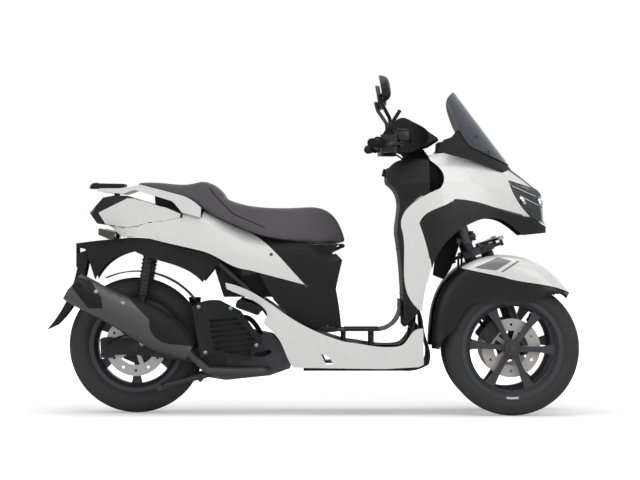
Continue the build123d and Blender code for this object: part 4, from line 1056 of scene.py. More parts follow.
@dataclass
class Saddle:
    """The padded two-level seat with its piping.

    Attributes:
        voxel: size of the remesh.
        swell: how far the cover crowns.
        dip: depth and reach of the hollow at the cross seam.
        seam: side line of the cross seam, X and Z from foot to top.
    """

    voxel: float = 0.005
    swell: float = 0.002
    dip: Spot = (0.0035, 0.010)
    seam: tuple[Spot, ...] = ((-0.174, 0.700), (-0.294, 0.753), (-0.361, 0.822), (-0.383, 0.852))

    def build(self) -> None:
        """Build the cushion and its piping."""
        cushion = self._cushion()
        self._piping(cushion)

    def _cushion(self) -> Body:
        """Remesh, smooth and crown a copy of the CAD cushion.

        Returns:
            The finished cushion.
        """
        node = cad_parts["seat_cushion"]
        clear_selection()
        cushion = node.copy()
        cushion.data = node.data.copy()
        cushion.parent = None
        bpy.context.scene.collection.objects.link(cushion)
        cushion.matrix_world = Matrix.Identity(4)
        cushion.name = "seat_cover"
        take_up(cushion)
        remesh = cushion.modifiers.new("even_mesh", "REMESH")
        remesh.mode = "VOXEL"
        remesh.voxel_size = self.voxel
        bpy.ops.object.modifier_apply(modifier=remesh.name)
        relax = cushion.modifiers.new("relaxed", "SMOOTH")
        relax.factor = 0.6
        relax.iterations = 14
        bpy.ops.object.modifier_apply(modifier=relax.name)
        self._crown(cushion)
        completed(cushion, VINYL, "seat", SOFT_CREASE)
        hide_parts("seat_cushion")
        return cushion

    def _crown(self, cushion: Body) -> None:
        """Swell the top between its edges and pull it in at the seam.

        Args:
            cushion: relaxed cushion.
        """
        low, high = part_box("seat_cushion")
        half = 0.5 * (high.y - low.y)
        depth, reach = self.dip
        seam_x, _ = self.seam[-1]
        for corner in cushion.data.vertices:
            place = corner.co
            share = max(0.0, 1.0 - (place.y / half) ** 2)
            lift = self.swell * share * max(0.0, corner.normal.z)
            gap = abs(place.x - seam_x) / reach
            on_seam = gap < 1.0 and corner.normal.z > 0.2
            place.z += lift - (depth * (1.0 - gap) ** 2 if on_seam else 0.0)
            place.z = min(place.z, high.z)
            place.x = min(max(place.x, low.x), high.x)

    def _closer(self, line: Sequence[Spot], count: int) -> list[Spot]:
        """Divide each run of a line evenly, so that the cord follows the cover.

        Args:
            line: corners of the line.
            count: points on each run.

        Returns:
            The closer points.
        """
        closer = []
        for (x0, z0), (x1, z1) in zip(line, line[1:]):
            for index in range(count):
                share = index / count
                closer.append((x0 + (x1 - x0) * share, z0 + (z1 - z0) * share))
        return closer + [line[-1]]

    def _piping(self, cushion: Body) -> None:
        """Lay the cord that covers the cross seam.

        Args:
            cushion: cover to lie on.
        """
        depsgraph = bpy.context.evaluated_depsgraph_get()
        tree = BVHTree.FromObject(cushion, depsgraph)

        def met(start: Vector, run: Vector) -> Point:
            """Feel for the cover and sink the cord a little into it.

            Args:
                start: where the feeler starts.
                run: its direction.

            Returns:
                The cord's point.
            """
            place, _, _, _ = tree.ray_cast(start, run)
            if place is None:
                place = start + run * 0.4
            return tuple(place + run.normalized() * 0.0003)

        x_top, _ = self.seam[-1]
        line = self._closer(self.seam, 8)
        right = [met(Vector((x, -0.5, z)), SIDEWAYS) for x, z in line]
        over = [met(Vector((x_top, -0.105 + 0.0105 * index, 1.3)), -UP) for index in range(21)]
        left = [met(Vector((x, 0.5, z)), -SIDEWAYS) for x, z in reversed(line)]
        cord = hose("seat_cross_seam", right + over + left, 0.0021)
        completed(cord, STITCH, "seat", SOFT_CREASE)


@dataclass
class RearShock:
    """Coil spring, adjuster rings and bolts of one rear shock.

    Attributes:
        hand: which side.
        top: upper eye.
        foot: lower eye.
        coil: radius of the spring's middle line.
        wire: radius of its wire.
        turns: number of turns.
        start: distance from the upper eye to the spring.
        end: share of the length at which the spring ends.
        turn_steps: steps in one turn.
    """

    hand: str
    top: Point
    foot: Point
    coil: float = 0.0212
    wire: float = 0.0034
    turns: float = 12.0
    start: float = 0.034
    end: float = 0.66
    turn_steps: int = 14

    def build(self) -> None:
        """Build the spring and what holds it."""
        top, foot = Vector(self.top), Vector(self.foot)
        run = (foot - top).normalized()
        length = (foot - top).length
        across = run.cross(SIDEWAYS).normalized()
        beside = run.cross(across).normalized()
        start, end = self.start, self.end * length - 0.006
        route = []
        count = int(self.turns * self.turn_steps)
        for index in range(count + 1):
            angle = 2.0 * math.pi * self.turns * index / count
            along = start + (end - start) * index / count
            arm = (across * math.cos(angle) + beside * math.sin(angle)) * self.coil
            route.append(tuple(top + run * along + arm))
        spring = hose(f"shock_spring_{self.hand}", route, self.wire)
        completed(spring, BAR, "chassis", SOFT_CREASE)
        seats = []
        for along, turn in ((start - 0.006, 1.0), (end + 0.001, -1.0)):
            seats.append(turned(
                f"shock_seat_{self.hand}", top + run * along, run * turn,
                [
                    (0.0150, -0.006), (0.0245, -0.002), (0.0252, 0.0),
                    (0.0252, 0.003), (0.0240, 0.0045), (0.0215, 0.0045),
                ],
            ))
        completed(joined(f"shock_seats_{self.hand}", seats), DARK_ALLOY, "chassis")
        side = HANDS[self.hand]
        bolts = []
        for eye in (top, foot):
            bolts.append(turned(
                "shock_bolt", eye + SIDEWAYS * (side * 0.009), SIDEWAYS * side,
                [(0.0115, -0.001), (0.0115, 0.0015), (0.0080, 0.002), (0.0080, 0.0065), (0.0070, 0.0075)], 6,
            ))
        completed(joined(f"shock_bolts_{self.hand}", bolts), STEEL, "chassis")


def from_side(*places: Spot, hands: Sequence[int] = (-1,), start: float = 0.6) -> Feelers:
    """List feelers that run in square from the side of the vehicle.

    Args:
        places: X and Z of each feeler.
        hands: -1 to run from the right and 1 from the left.
        start: distance from the middle at which they start.

    Returns:
        Start point and direction of each feeler.
    """
    return tuple(((x, hand * start, z), (0.0, -hand, 0.0)) for hand in hands for x, z in places)


@dataclass
class Fastenings:
    """Small screws that hold a panel, set where the panel's surface is.

    Attributes:
        name: piece name.
        nodes: panels of the chassis to feel for.
        spots: start point and direction of each feeler.
        radius: head radius.
        finish: finish of the heads.
    """

    name: str
    nodes: tuple[str, ...]
    spots: Feelers
    radius: float = 0.0065
    finish: Finish = DARK_STEEL

    def build(self) -> None:
        """Model one screw and set a copy of it at each spot."""
        radius = self.radius
        model = turned(
            f"{self.name}_model", Vector(), UP,
            [
                (radius * 1.25, -0.002), (radius * 1.25, 0.0006), (radius * 1.1, 0.0012),
                (radius, 0.0013), (radius * 0.92, 0.003), (radius * 0.72, 0.0038),
                (radius * 0.45, 0.0038), (radius * 0.42, 0.0018),
            ],
            20,
        )
        probe = Probe(*self.nodes)
        heads = []
        for start, run in self.spots:
            try:
                place, normal = probe.touch(Vector(start), Vector(run))
            except ValueError:
                LOG.warning("%s: no panel ahead of %s", self.name, start)
                continue
            heads.append(copied(model, place, normal))
        thrown_away(model)
        completed(joined(self.name, heads), self.finish, "chassis")


@dataclass
class Mirror:
    """Glass and stem boot of one mirror.

    Attributes:
        hand: which side.
        tilt: lean of the head.
        half: half width and half height of the glass.
        head: middle of the left mirror's back.
        stem: foot of the left mirror's stem.
    """

    hand: str
    tilt: float = 0.16
    half: Spot = (0.066, 0.043)
    head: Point = (0.256, 0.322, 1.210)
    stem: Point = (0.292, 0.226, 1.046)

    def build(self) -> None:
        """Build the glass and the rubber boot."""
        side = HANDS[self.hand]
        out = Vector((-1.0, 0.0, -self.tilt)).normalized()
        centre = mirrored(self.head, side)
        rim = [(0.9, -0.001), (1.0, 0.0004), (0.985, 0.0012)]
        glass = turned(f"mirror_glass_{self.hand}", Vector(), UP, rim, 48)
        take_up(glass)
        bpy.ops.transform.resize(value=(*self.half, 1.0), center_override=ORIGIN)
        bpy.ops.object.transform_apply(location=True, rotation=True, scale=True)
        set_place(glass, centre + out * 0.0002, out)
        completed(glass, MIRROR, "handlebar")
        boot = turned(
            f"mirror_boot_{self.hand}", mirrored(self.stem, side), UP,
            [
                (0.0125, 0.0), (0.0130, 0.004), (0.0115, 0.009), (0.0095, 0.013),
                (0.0105, 0.014), (0.0105, 0.021), (0.0085, 0.030),
            ],
            6,
        )
        completed(boot, RUBBER, "handlebar", 25.0)


@dataclass
class Controls:
    """Switches, reservoirs, lever pivots and cables on the handlebar.

    Attributes:
        housing: centre of the left switch housing.
        pivot: foot of the left lever's pivot.
        grip_start: inner end of the left grip.
        grip_end: outer end of the left grip.
        ribs: number of ribs on a grip.
        rib_pitch: distance between them.
        spread: turn of the housings.
    """

    housing: Point = (0.292, 0.232, 1.012)
    pivot: Point = (0.332, 0.236, 1.000)
    grip_start: Point = (0.262, 0.205, 1.018)
    grip_end: Point = (0.222, 0.362, 1.010)
    ribs: int = 14
    rib_pitch: float = 0.0062
    spread: float = math.radians(14.0)

    def build(self) -> None:
        """Build both sides and the display."""
        for hand, side in HANDS.items():
            self._reservoir(hand, side)
            self._switches(hand, side)
            self._cables(hand, side)
            self._lever_pivot(hand, side)
            self._bar_end(hand, side)
        self._display()

    def _reservoir(self, hand: str, side: int) -> None:
        """Stand the brake fluid reservoir ahead of the housing.

        Args:
            hand: which side.
            side: -1 on the right and 1 on the left.
        """
        x, y, z = self.housing
        foot = Vector((x + 0.044, side * (y - 0.004), z + 0.012))
        body = moulded_block(f"brake_reservoir_{hand}", foot, UP, (0.050, 0.038, 0.034), 0.004, 0.0015)
        soften(body, 0.004)
        completed(body, BAR, "handlebar")
        rim = Vector((foot.x, foot.y, z + 0.0455))
        lid = moulded_block(f"reservoir_lid_{hand}", rim, UP, (0.053, 0.041, 0.007), 0.006, -0.0015)
        soften(lid, 0.0025)
        completed(lid, SATIN, "handlebar")

    def _switches(self, hand: str, side: int) -> None:
        """Set three rockers in the rear face of the housing.

        Args:
            hand: which side.
            side: -1 on the right and 1 on the left.
        """
        x, y, z = self.housing
        back = Vector((-math.cos(self.spread), side * -math.sin(self.spread), 0.0))
        across = Vector((-back.y, back.x, 0.0))
        probe = Probe("handlebar")
        rockers = []
        for shift, rise, width in ((-0.014, 0.016, 0.016), (0.010, 0.016, 0.018), (-0.002, -0.012, 0.026)):
            start = Vector((x, side * y, z)) + across * shift + UP * rise + back * 0.2
            place, normal = probe.touch(start, -back)
            size = (width, 0.010, 0.0055)
            rocker = moulded_block("rocker", place - normal * 0.001, normal, size, 0.0022, 0.001)
            soften(rocker, 0.0012)
            rockers.append(rocker)
        completed(joined(f"switches_{hand}", rockers), GRAINED, "handlebar")

    def _cables(self, hand: str, side: int) -> None:
        """Lead the brake hose and the switch cable to the steering head.

        Args:
            hand: which side.
            side: -1 on the right and 1 on the left.
        """
        x, y, z = self.housing
        routes = {
            "brake_hose": (0.0042, [
                (x + 0.060, side * (y - 0.012), z + 0.020), (x + 0.078, side * 0.170, z + 0.030),
                (x + 0.082, side * 0.110, z - 0.004), (x + 0.062, side * 0.060, z - 0.045),
                (x + 0.074, side * 0.040, z - 0.090),
            ]),
            "switch_cable": (0.0034, [
                (x + 0.020, side * (y - 0.028), z - 0.020), (x + 0.046, side * 0.150, z - 0.036),
                (x + 0.058, side * 0.090, z - 0.052), (x + 0.066, side * 0.030, z - 0.090),
            ]),
        }
        for kind, (radius, route) in routes.items():
            completed(hose(f"{kind}_{hand}", route, radius), RUBBER, "handlebar", SOFT_CREASE)

    def _lever_pivot(self, hand: str, side: int) -> None:
        """Add the boss and pin that the brake lever turns on.

        Args:
            hand: which side.
            side: -1 on the right and 1 on the left.
        """
        boss = turned(
            f"lever_pivot_{hand}", mirrored(self.pivot, side), UP,
            [
                (0.0085, 0.0), (0.0100, 0.001), (0.0100, 0.0225), (0.0085, 0.0235),
                (0.0055, 0.0235), (0.0055, 0.0275), (0.0045, 0.0285),
            ],
            24,
        )
        completed(boss, BAR, "handlebar")

    def _bar_end(self, hand: str, side: int) -> None:
        """Close the inner end of the grip with a flange and ring it with ribs.

        Args:
            hand: which side.
            side: -1 on the right and 1 on the left.
        """
        inner = mirrored(self.grip_start, side)
        run = (mirrored(self.grip_end, side) - inner).normalized()
        flange = turned(
            f"grip_flange_{hand}", inner + run * 0.0615, run,
            [(0.0165, 0.0), (0.0215, 0.0008), (0.0220, 0.003), (0.0205, 0.0055), (0.0172, 0.0065)], 40,
        )
        completed(flange, RUBBER, "handlebar")
        ribs = []
        for index in range(self.ribs):
            ribs.append(turned(
                "grip_rib", inner + run * (0.072 + self.rib_pitch * index), run,
                [(0.0160, 0.0), (0.0172, 0.0012), (0.0172, 0.0026), (0.0160, 0.0038)], 32,
            ))
        completed(joined(f"grip_ribs_{hand}", ribs), RUBBER, "handlebar")

    def _display(self) -> None:
        """Set the instrument display in the back of the bar cover."""
        probe = Probe("handlebar_cover")
        place, normal = probe.touch(Vector((0.05, 0.0, 1.28)), Vector((1.0, 0.0, -0.80)))
        foot = place - normal * 0.004
        hood = moulded_block("instrument_hood", foot, normal, (0.060, 0.150, 0.014), 0.007, 0.004)
        soften(hood, 0.005)
        completed(hood, GRAINED, "handlebar")
        foot = place + normal * 0.0045
        glass = moulded_block("instrument_glass", foot, normal, (0.042, 0.130, 0.004), 0.003, 0.0006)
        soften(glass, 0.0012)
        completed(glass, DISPLAY, "handlebar")


@dataclass
class Headlamp:
    """Two projectors in their cups behind one clear cover.

    Attributes:
        hand: which side.
        seats: sideways place and height of each projector.
    """

    hand: str
    seats: tuple[Spot, ...] = ((0.058, 0.792), (0.118, 0.800))

    def build(self) -> None:
        """Build the ring and the dome of each projector."""
        side = HANDS[self.hand]
        probe = Probe("headlamp_buckets")
        for index, (y, z) in enumerate(self.seats):
            try:
                place, normal = probe.touch(Vector((1.3, side * y, z)), Vector((-1.0, 0.0, 0.0)))
            except ValueError:
                continue
            ring = turned(
                f"lamp_ring_{self.hand}_{index}", place, normal,
                [(0.0190, -0.001), (0.0190, 0.006), (0.0175, 0.0085), (0.0160, 0.0085), (0.0150, 0.003)],
            )
            completed(ring, CHROME, "chassis")
            dome = turned(
                f"lamp_lens_{self.hand}_{index}", place, normal,
                [(0.0148, 0.0), (0.0148, 0.005), (0.0128, 0.0092), (0.0085, 0.0120), (0.0035, 0.0132)],
            )
            completed(dome, DISPLAY, "chassis", SOFT_CREASE)


@dataclass
class FloorMat:
    """Raised grip ribs on the floor board.

    Attributes:
        count: ribs on each side.
        pitch: distance between ribs.
    """

    count: int = 6
    pitch: float = 0.016

    def build(self) -> None:
        """Build the ribs of both sides as one piece."""
        probe = Probe("floor_board")
        ribs = []
        for side in (-1, 1):
            for index in range(self.count):
                y = side * (0.085 + self.pitch * index)
                try:
                    place, _ = probe.touch(Vector((0.19, y, 0.6)), -UP)
                except ValueError:
                    continue
                rib = moulded_block("rib", place - UP * 0.001, UP, (0.130, 0.007, 0.0035), 0.0018, -0.0006)
                soften(rib, 0.001)
                ribs.append(rib)
        completed(joined("floor_ribs", ribs), RUBBER, "chassis")


@dataclass
class DriveCase:
    """Ribs, hub and screws on the belt-drive case.

    Attributes:
        rim: X and Z of the cover screws.
        ribs: number of ribs.
        first: place of the rearmost rib.
        pitch: distance between ribs.
    """

    rim: tuple[Spot, ...] = (
        (-0.60, 0.300), (-0.50, 0.298), (-0.40, 0.303), (-0.31, 0.305), (-0.272, 0.245), (-0.31, 0.200),
        (-0.40, 0.190), (-0.50, 0.200), (-0.60, 0.215),
    )
    ribs: int = 7
    first: float = -0.56
    pitch: float = 0.036

    def build(self) -> None:
        """Build the ribs, the hub and the screws."""
        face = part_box("transmission_case")[1].y
        ribs = []
        for index in range(self.ribs):
            x = self.first + index * self.pitch
            foot = Vector((x, face - 0.001, 0.252))
            rib = moulded_block("case_rib", foot, SIDEWAYS, (0.064, 0.010, 0.006), 0.002, -0.001)
            soften(rib, 0.0015)
            ribs.append(rib)
        completed(joined("drive_case_ribs", ribs), ALLOY, "chassis")
        hub = turned(
            "drive_case_hub", Vector((-0.335, face - 0.001, 0.250)), SIDEWAYS,
            [
                (0.052, 0.0), (0.050, 0.005), (0.046, 0.0065), (0.041, 0.0065),
                (0.040, 0.004), (0.018, 0.004), (0.016, 0.008), (0.009, 0.009),
            ],
            48,
        )
        completed(hub, ALLOY, "chassis")
        spots = from_side(*self.rim, hands=(1,), start=0.5)
        Fastenings("drive_case_screws", ("transmission_case",), spots, 0.0052, STEEL).build()


@dataclass
class Plumbing:
    """Hoses that stay fixed to the chassis or to one fork."""

    def build(self) -> None:
        """Build the radiator, fuel and brake hoses."""
        lines = {
            "radiator_hose_top": (0.0095, [
                (-0.300, -0.150, 0.352), (-0.262, -0.146, 0.372),
                (-0.215, -0.110, 0.352), (-0.190, -0.070, 0.300),
            ]),
            "radiator_hose_low": (0.0085, [
                (-0.232, -0.152, 0.236), (-0.205, -0.140, 0.222),
                (-0.175, -0.105, 0.226), (-0.150, -0.060, 0.235),
            ]),
            "rear_brake_hose": (0.0042, [
                (-0.770, -0.128, 0.262), (-0.735, -0.140, 0.288), (-0.660, -0.128, 0.305),
                (-0.560, -0.122, 0.276), (-0.470, -0.110, 0.262), (-0.380, -0.100, 0.240),
            ]),
        }
        for name, (radius, route) in lines.items():
            completed(hose(name, route, radius), RUBBER, "chassis", SOFT_CREASE)
        for hand, side in HANDS.items():
            y = side * (HALF_TRACK - 0.0745)
            route = [
                tuple(on_column(-0.020, 0.330, y + side * 0.010)),
                tuple(on_column(-0.064, 0.400, y + side * 0.004)),
                tuple(on_column(-0.070, 0.520, y)),
                tuple(on_column(-0.052, 0.600, y - side * 0.004)),
                tuple(on_column(-0.030, 0.650, y)),
            ]
            line = hose(f"front_brake_hose_{hand}", route, 0.0042)
            completed(line, RUBBER, f"fork_{hand}", SOFT_CREASE)


FILM_START = 0.5
FILM_DIVISIONS = 5


def patch_on(name: str, outline: Sequence[Spot], target: Body, hand: int, lift: float) -> Body:
    """Wrap a thin film with a side outline on to a panel.

    Args:
        name: piece name.
        outline: X and Z of each corner.
        target: panel to lie on.
        hand: -1 from the right and 1 from the left.
        lift: height of the film over the panel.

    Returns:
        The film.
    """
    start = hand * FILM_START
    film = cut_plate(name, outline, start, start - hand * 0.01)
    edit_faces(film, lambda face: face.normal.y * hand < 0.5)
    bpy.ops.mesh.delete(type="FACE")
    edit_all(film)
    bpy.ops.mesh.quads_convert_to_tris()
    for _ in range(FILM_DIVISIONS):
        bpy.ops.mesh.subdivide(number_cuts=1)
    bpy.ops.object.mode_set(mode="OBJECT")
    wrap = film.modifiers.new("laid_on", "SHRINKWRAP")
    wrap.target = target
    wrap.wrap_method = "PROJECT"
    wrap.use_project_y = True
    wrap.use_project_x = False
    wrap.use_project_z = False
    wrap.use_negative_direction = True
    wrap.use_positive_direction = True
    wrap.offset = lift
    take_up(film)
    bpy.ops.object.modifier_apply(modifier=wrap.name)
    edit_all(film)
    bpy.ops.mesh.select_mode(type="VERT")
    bpy.ops.mesh.select_all(action="DESELECT")
    bpy.ops.object.mode_set(mode="OBJECT")
    for corner in film.data.vertices:
        corner.select = abs(corner.co.y) > FILM_START - 0.05
    bpy.ops.object.mode_set(mode="EDIT")
    bpy.ops.mesh.delete(type="VERT")
    bpy.ops.object.mode_set(mode="OBJECT")
    return film


@dataclass
class PanelFilm:
    """A second colour on part of a CAD panel, laid on as a thin film.

    Attributes:
        name: piece name.
        node: panel that it lies on.
        outline: X and Z of each corner.
        finish: finish of the film.
        lift: height over the panel, less than zero behind a clear one.
        body: body of the panel.
        hands: sides that carry it.
        slot: material slot of the record, where it isn't the finish's own; not used.
    """

    name: str
    node: str
    outline: tuple[Spot, ...]
    finish: Finish
    lift: float = 0.0005
    body: str = "chassis"
    hands: tuple[str, ...] = ("right", "left")
    slot: str = ""

    def build(self) -> None:
        """Lay the film on each side."""
        for hand in self.hands:
            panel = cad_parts[self.node]
            film = patch_on(f"{self.name}_{hand}", self.outline, panel, HANDS[hand], self.lift)
            if len(film.data.polygons) == 0:
                thrown_away(film)
                continue
            completed(film, self.finish, self.body, SOFT_CREASE)


@dataclass
class Cockpit:
    """Dark panels that close the front body round the steering column.

    Attributes:
        closer: X and Z of the corners of each side closer.
        wedge: X and Z of the corners of the wedge under the screen.
        chin: X and Z of the corners of the chin under the bar cover.
        splash: X and Z of the corners of the splash guard.
    """

    closer: tuple[Spot, ...] = (
        (0.418, 0.846), (0.446, 0.832), (0.506, 0.850), (0.512, 0.905),
        (0.488, 0.950), (0.440, 0.962), (0.412, 0.950),
    )
    wedge: tuple[Spot, ...] = (
        (0.470, 0.968), (0.474, 1.022), (0.500, 1.026), (0.556, 0.990), (0.600, 0.958), (0.530, 0.952),
    )
    chin: tuple[Spot, ...] = (
        (0.372, 0.998), (0.396, 1.078), (0.428, 1.074), (0.476, 1.041),
        (0.481, 1.030), (0.440, 1.004), (0.404, 0.996),
    )
    splash: tuple[Spot, ...] = (
        (0.462, 0.520), (0.472, 0.600), (0.502, 0.690), (0.540, 0.742), (0.578, 0.722), (0.566, 0.660),
        (0.548, 0.600), (0.526, 0.545), (0.500, 0.505),
    )

    def build(self) -> None:
        """Build the closers, the wedge, the boot, the chin, the guard and the switch."""
        for hand, side in HANDS.items():
            panel = cut_plate(f"cockpit_closer_{hand}", self.closer, side * 0.128, side * 0.1315)
            soften(panel, 0.0012)
            completed(panel, GRAINED, "chassis")
        dash = inset_plate("dash_wedge", self.wedge, 0.078, (0.008, 0.006), 0.003)
        completed(dash, GRAINED, "chassis")
        self._boot()
        chin = inset_plate("cover_chin", self.chin, 0.046, (0.007, 0.005), 0.003)
        completed(chin, SATIN, "handlebar")
        splash = inset_plate("splash_guard", self.splash, 0.048, (0.012, -0.006), 0.002)
        completed(splash, GRAINED, "chassis")
        self._switch()

    def _boot(self) -> None:
        """Fold the rubber boot round the steering column."""
        boot = turned(
            "column_boot", Vector((0.398, 0.0, 0.948)), UPWARD,
            [
                (0.0560, 0.000), (0.0560, 0.004), (0.0490, 0.008),
                (0.0520, 0.013), (0.0460, 0.018), (0.0490, 0.023),
                (0.0430, 0.028), (0.0460, 0.033), (0.0410, 0.038),
                (0.0410, 0.046), (0.0370, 0.047), (0.0370, 0.006),
            ],
            48,
        )
        completed(boot, RUBBER, "chassis")

    def _switch(self) -> None:
        """Set the ignition switch in the back of the leg shield."""
        place, normal = Probe("leg_shield").touch(Vector((0.0, -0.07, 0.905)), Vector((1.0, 0.0, 0.0)))
        knob = turned(
            "ignition_switch", place, normal,
            [
                (0.0210, -0.003), (0.0210, 0.002), (0.0195, 0.004), (0.0150, 0.0045),
                (0.0145, 0.0140), (0.0130, 0.0155), (0.0070, 0.0158), (0.0068, 0.0120),
            ],
            40,
        )
        completed(knob, SATIN, "chassis")


@dataclass
class Silencer:
    """End cap, outlet and screws of the silencer.

    Attributes:
        cap: X and Z of the corners of the end cap.
        outlet: X and Z of the corners of the outlet's rim.
        slit: X and Z of the corners of the outlet's mouth.
    """

    cap: tuple[Spot, ...] = (
        (-0.905, 0.500), (-0.880, 0.522), (-0.821, 0.503), (-0.780, 0.440), (-0.776, 0.400), (-0.830, 0.400),
    )
    outlet: tuple[Spot, ...] = (
        (-0.893, 0.498), (-0.880, 0.508), (-0.846, 0.498), (-0.832, 0.478), (-0.846, 0.462), (-0.880, 0.476),
    )
    slit: tuple[Spot, ...] = (
        (-0.884, 0.494), (-0.876, 0.500), (-0.852, 0.491), (-0.845, 0.480), (-0.852, 0.472), (-0.876, 0.483),
    )

    def build(self) -> None:
        """Lay the cap's skin, its outlet and its screws on the silencer."""
        for name, outline, finish, slot, lift in (
            ("silencer_cap", self.cap, GRAINED, "black_matt", 0.0006),
            ("silencer_outlet", self.outlet, SATIN, "black_panel", 0.0016),
            ("silencer_slit", self.slit, RUBBER, "black_matt", 0.0022),
        ):
            PanelFilm(name, "exhaust", outline, finish, lift, hands=("right",), slot=slot).build()
        spots = from_side((-0.800, 0.462), (-0.700, 0.420), start=0.5)
        Fastenings("silencer_screws", ("exhaust", "exhaust_shield"), spots, 0.0060, STEEL).build()


# --------------------------------------------------------------------- studio
FLOOR_DROP = 0.0005
FLOOR_COLOUR = (0.93, 0.93, 0.93, 1.0)
WHITE = (1.0, 1.0, 1.0, 1.0)


@dataclass
class Studio:
    """Floor, backdrop, lamps and camera.

    Attributes:
        size: side length of the floor.
        lens: focal length in millimetres.
        eye: camera position.
        fill: strength of the world's light on the object.
        floor_glow: light added to the floor as the camera sees it.
        shadow_reach: distances between which that light rises to white.
    """

    size: float = 60.0
    lens: float = 148.05
    eye: Point = (0.0321, -10.0, 0.654)
    fill: float = 0.42
    floor_glow: float = 0.32
    shadow_reach: tuple[float, float] = (1.5, 3.0)

    def build(self) -> None:
        """Build the whole studio."""
        self._floor()
        self._world()
        self._lamps()
        self._camera()

    def _white_to_camera(self, tree: Tree, plain: Socket, output: Node) -> None:
        """Show plain white to the camera, and to reflections and glass.

        Args:
            tree: node tree of the world.
            plain: what lights the object.
            output: output node of the tree.
        """
        glows = fed(tree, "Background", {"Strength": 1.0, "Color": WHITE})
        path = tree.nodes.new("ShaderNodeLightPath")
        seen = path.outputs["Is Camera Ray"]
        for ray in ("Is Glossy Ray", "Is Transmission Ray"):
            either = fed(tree, "Math", {0: seen, 1: path.outputs[ray]})
            either.operation = "MAXIMUM"
            seen = either.outputs[0]
        mix = fed(tree, "MixShader", {0: seen, 1: plain, 2: glows.outputs[0]})
        fed(tree, output, {"Surface": mix.outputs[0]})

    def _floor(self) -> None:
        """Lay the pale floor, which keeps the object's shadow."""
        bpy.ops.mesh.primitive_plane_add(size=self.size, location=(0.0, 0.0, -FLOOR_DROP))
        floor = bpy.context.object
        floor.name = "studio_floor"
        mat = bpy.data.materials.new("studio_floor")
        mat.use_nodes = True
        tree = mat.node_tree
        matt = {"Base Color": FLOOR_COLOUR, "Roughness": 0.9, "Specular IOR Level": 0.0}
        shader = fed(tree, tree.nodes["Principled BSDF"], matt)
        place = tree.nodes.new("ShaderNodeTexCoord")
        reach = fed(tree, "VectorMath", {0: place.outputs["Object"]})
        reach.operation = "LENGTH"
        fade = remapped(tree, reach.outputs["Value"], self.shadow_reach, (self.floor_glow, 1.0))
        fade.node.interpolation_type = "SMOOTHSTEP"
        glow = fed(tree, "Emission", {"Strength": fade})
        dark = fed(tree, "Emission", {"Strength": 0.0})
        path = tree.nodes.new("ShaderNodeLightPath")
        lights = {0: path.outputs["Is Camera Ray"], 1: dark.outputs[0], 2: glow.outputs[0]}
        chosen = fed(tree, "MixShader", lights)
        both = fed(tree, "AddShader", {0: shader.outputs[0], 1: chosen.outputs[0]})
        fed(tree, tree.nodes["Material Output"], {"Surface": both.outputs[0]})
        floor.data.materials.append(mat)

    def _world(self) -> None:
        """Make the world white to the camera and softer to the object."""
        world = bpy.data.worlds.new("studio")
        bpy.context.scene.world = world
        world.use_nodes = True
        tree = world.node_tree
        soft = fed(tree, tree.nodes["Background"], {"Strength": self.fill, "Color": WHITE})
        self._white_to_camera(tree, soft.outputs[0], tree.nodes["World Output"])

    def _lamp(self, name: str, place: Point, aim: Point, size: float, power: float) -> None:
        """Hang one square lamp.

        Args:
            name: lamp name.
            place: where it hangs.
            aim: point it faces.
            size: side length in metres.
            power: watts.
        """
        data = bpy.data.lights.new(name, "AREA")
        data.size = size
        data.energy = power
        lamp = bpy.data.objects.new(name, data)
        lamp.location = place
        lamp.rotation_euler = (Vector(aim) - Vector(place)).to_track_quat("-Z", "Y").to_euler()
        bpy.context.scene.collection.objects.link(lamp)

    def _lamps(self) -> None:
        """Hang the soft lamps."""
        self._lamp("top", (0.0, -0.6, 4.2), (0.0, 0.0, 0.5), 4.0, 92.0)
        self._lamp("front_side", (2.6, -4.4, 2.2), (0.1, 0.0, 0.6), 2.4, 46.0)
        self._lamp("rear_side", (-3.4, -3.6, 2.0), (-0.2, 0.0, 0.6), 2.0, 26.0)

    def _camera(self) -> None:
        """Set the camera square to the vehicle's right side."""
        data = bpy.data.cameras.new("camera")
        data.lens = self.lens
        data.sensor_width = 36.0
        data.clip_end = 100.0
        camera = bpy.data.objects.new("camera", data)
        camera.location = self.eye
        camera.rotation_euler = (math.pi / 2, 0.0, 0.0)
        bpy.context.scene.collection.objects.link(camera)
        bpy.context.scene.camera = camera


TAIL_FLANK = (
    (-0.802, 0.757), (-0.689, 0.811), (-0.640, 0.808), (-0.560, 0.782), (-0.490, 0.752), (-0.492, 0.735),
    (-0.570, 0.720), (-0.700, 0.700), (-0.768, 0.704),
)
UPPER_BAR = ((0.750, 0.856), (0.754, 0.859), (0.846, 0.820), (0.846, 0.8165))
LOWER_BAR = ((0.780, 0.818), (0.784, 0.821), (0.856, 0.786), (0.856, 0.7825))
FENDER_GRAPHIC = ((0.603, 0.551), (0.692, 0.590), (0.742, 0.577), (0.684, 0.541))
FENDER_STRIPE = ((0.700, 0.536), (0.708, 0.534), (0.772, 0.575), (0.764, 0.578))
FILM_LIFT = 0.0004
FRONT_BEAD, FRONT_RIM_HALF, FRONT_WELL = 0.1778, 0.0307, 0.150
REAR_BEAD, REAR_RIM_HALF, REAR_WELL = 0.1651, 0.0467, 0.140


class Assembly(Protocol):
    """Anything that the build can put together."""

    def build(self) -> None:
        """Build its pieces."""


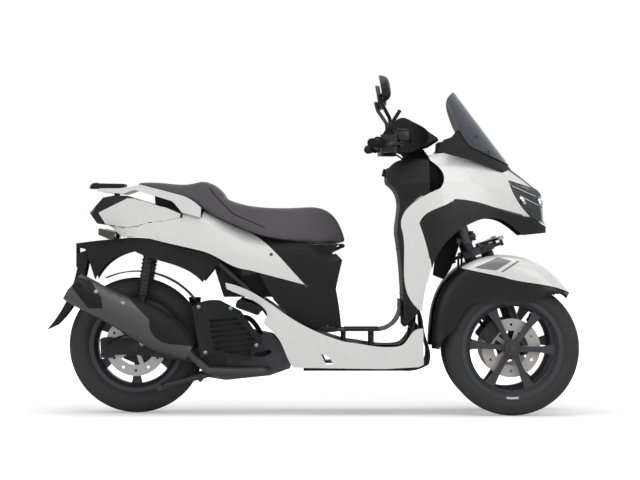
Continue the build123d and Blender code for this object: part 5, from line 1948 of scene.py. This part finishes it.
def panel_screws() -> list[Assembly]:
    """List the screws of the body panels.

    Returns:
        The groups of screws.
    """
    cowls = ("front_cowls", "side_skirts", "rear_cowls", "seat_side_covers", "arch_cowls")
    back = tuple(((0.0, y, z), (1.0, 0.0, 0.0)) for y in (-0.12, 0.12) for z in (0.45, 0.62, 0.80))
    front = tuple(((1.2, y, z), (-1.0, 0.0, 0.0)) for y in (-0.115, 0.115) for z in (0.985, 1.045))
    cover = from_side((-0.420, 0.405), (-0.395, 0.235), (-0.205, 0.262), (-0.300, 0.400))
    flanks = from_side((-0.150, 0.600), (-0.020, 0.480), (0.060, 0.330), hands=(-1, 1))
    arm = from_side((-0.640, 0.262), (-0.560, 0.250), (-0.480, 0.232))
    return [
        Fastenings("cowl_screws", cowls, flanks, 0.0050),
        Fastenings("leg_shield_screws", ("leg_shield",), back, 0.0050),
        Fastenings("screen_screws", ("windscreen",), front, 0.0070),
        Fastenings("radiator_cover_screws", ("radiator_cover",), cover, 0.0055, STEEL),
        Fastenings("arm_screws", ("swing_arm",), arm, 0.0070, STEEL),
    ]


def build_order() -> list[Assembly]:
    """List the sub-assemblies in the order they are built.

    Returns:
        The sub-assemblies.
    """
    order: list[Assembly] = [
        Saddle(), Controls(), FloorMat(), DriveCase(), Plumbing(), Cockpit(), Silencer(),
        PanelFilm("tail_flank", "tail_cover", TAIL_FLANK, PEARL),
        PanelFilm("lamp_bar_upper", "headlamp_lenses", UPPER_BAR, LIGHT_BAR, FILM_LIFT),
        PanelFilm("lamp_bar_lower", "headlamp_lenses", LOWER_BAR, LIGHT_BAR, FILM_LIFT),
        *panel_screws(),
    ]
    for hand, side in HANDS.items():
        wheel, fork, cap = f"front_wheel_{hand}", f"fork_{hand}", f"fender_cap_{hand}"
        order += [
            Tyre(f"front_tyre_{hand}", wheel, FRONT_BEAD, FRONT_RIM_HALF),
            # The right front rim alone carries the painted highlight.
            Wheel(wheel, f"front_disc_{hand}", wheel, side, hand == "right", FRONT_WELL),
            Mirror(hand),
            Headlamp(hand),
        ]
        for name, outline in (("fender_graphic", FENDER_GRAPHIC), ("fender_stripe", FENDER_STRIPE)):
            order.append(PanelFilm(name, cap, outline, GREY_STRIPE, FILM_LIFT, fork, (hand,)))
    order += [
        Tyre("rear_tyre", "rear_wheel", REAR_BEAD, REAR_RIM_HALF),
        Wheel("rear_wheel", "rear_disc", "rear_wheel", HANDS["right"], False, REAR_WELL),
        RearShock("right", (-0.600, -0.095, 0.664), (-0.652, -0.090, 0.330)),
        RearShock("left", (-0.600, 0.095, 0.664), (-0.652, 0.106, 0.352)),
    ]
    return order


def main() -> None:
    """Build the studio and every sub-assembly in order."""
    logging.basicConfig(level=logging.INFO, format="%(name)s: %(message)s")
    bpy.context.scene.view_settings.view_transform = "Standard"
    Studio().build()
    dress_frame()
    for part in build_order():
        part.build()


if __name__ == "__main__":
    main()
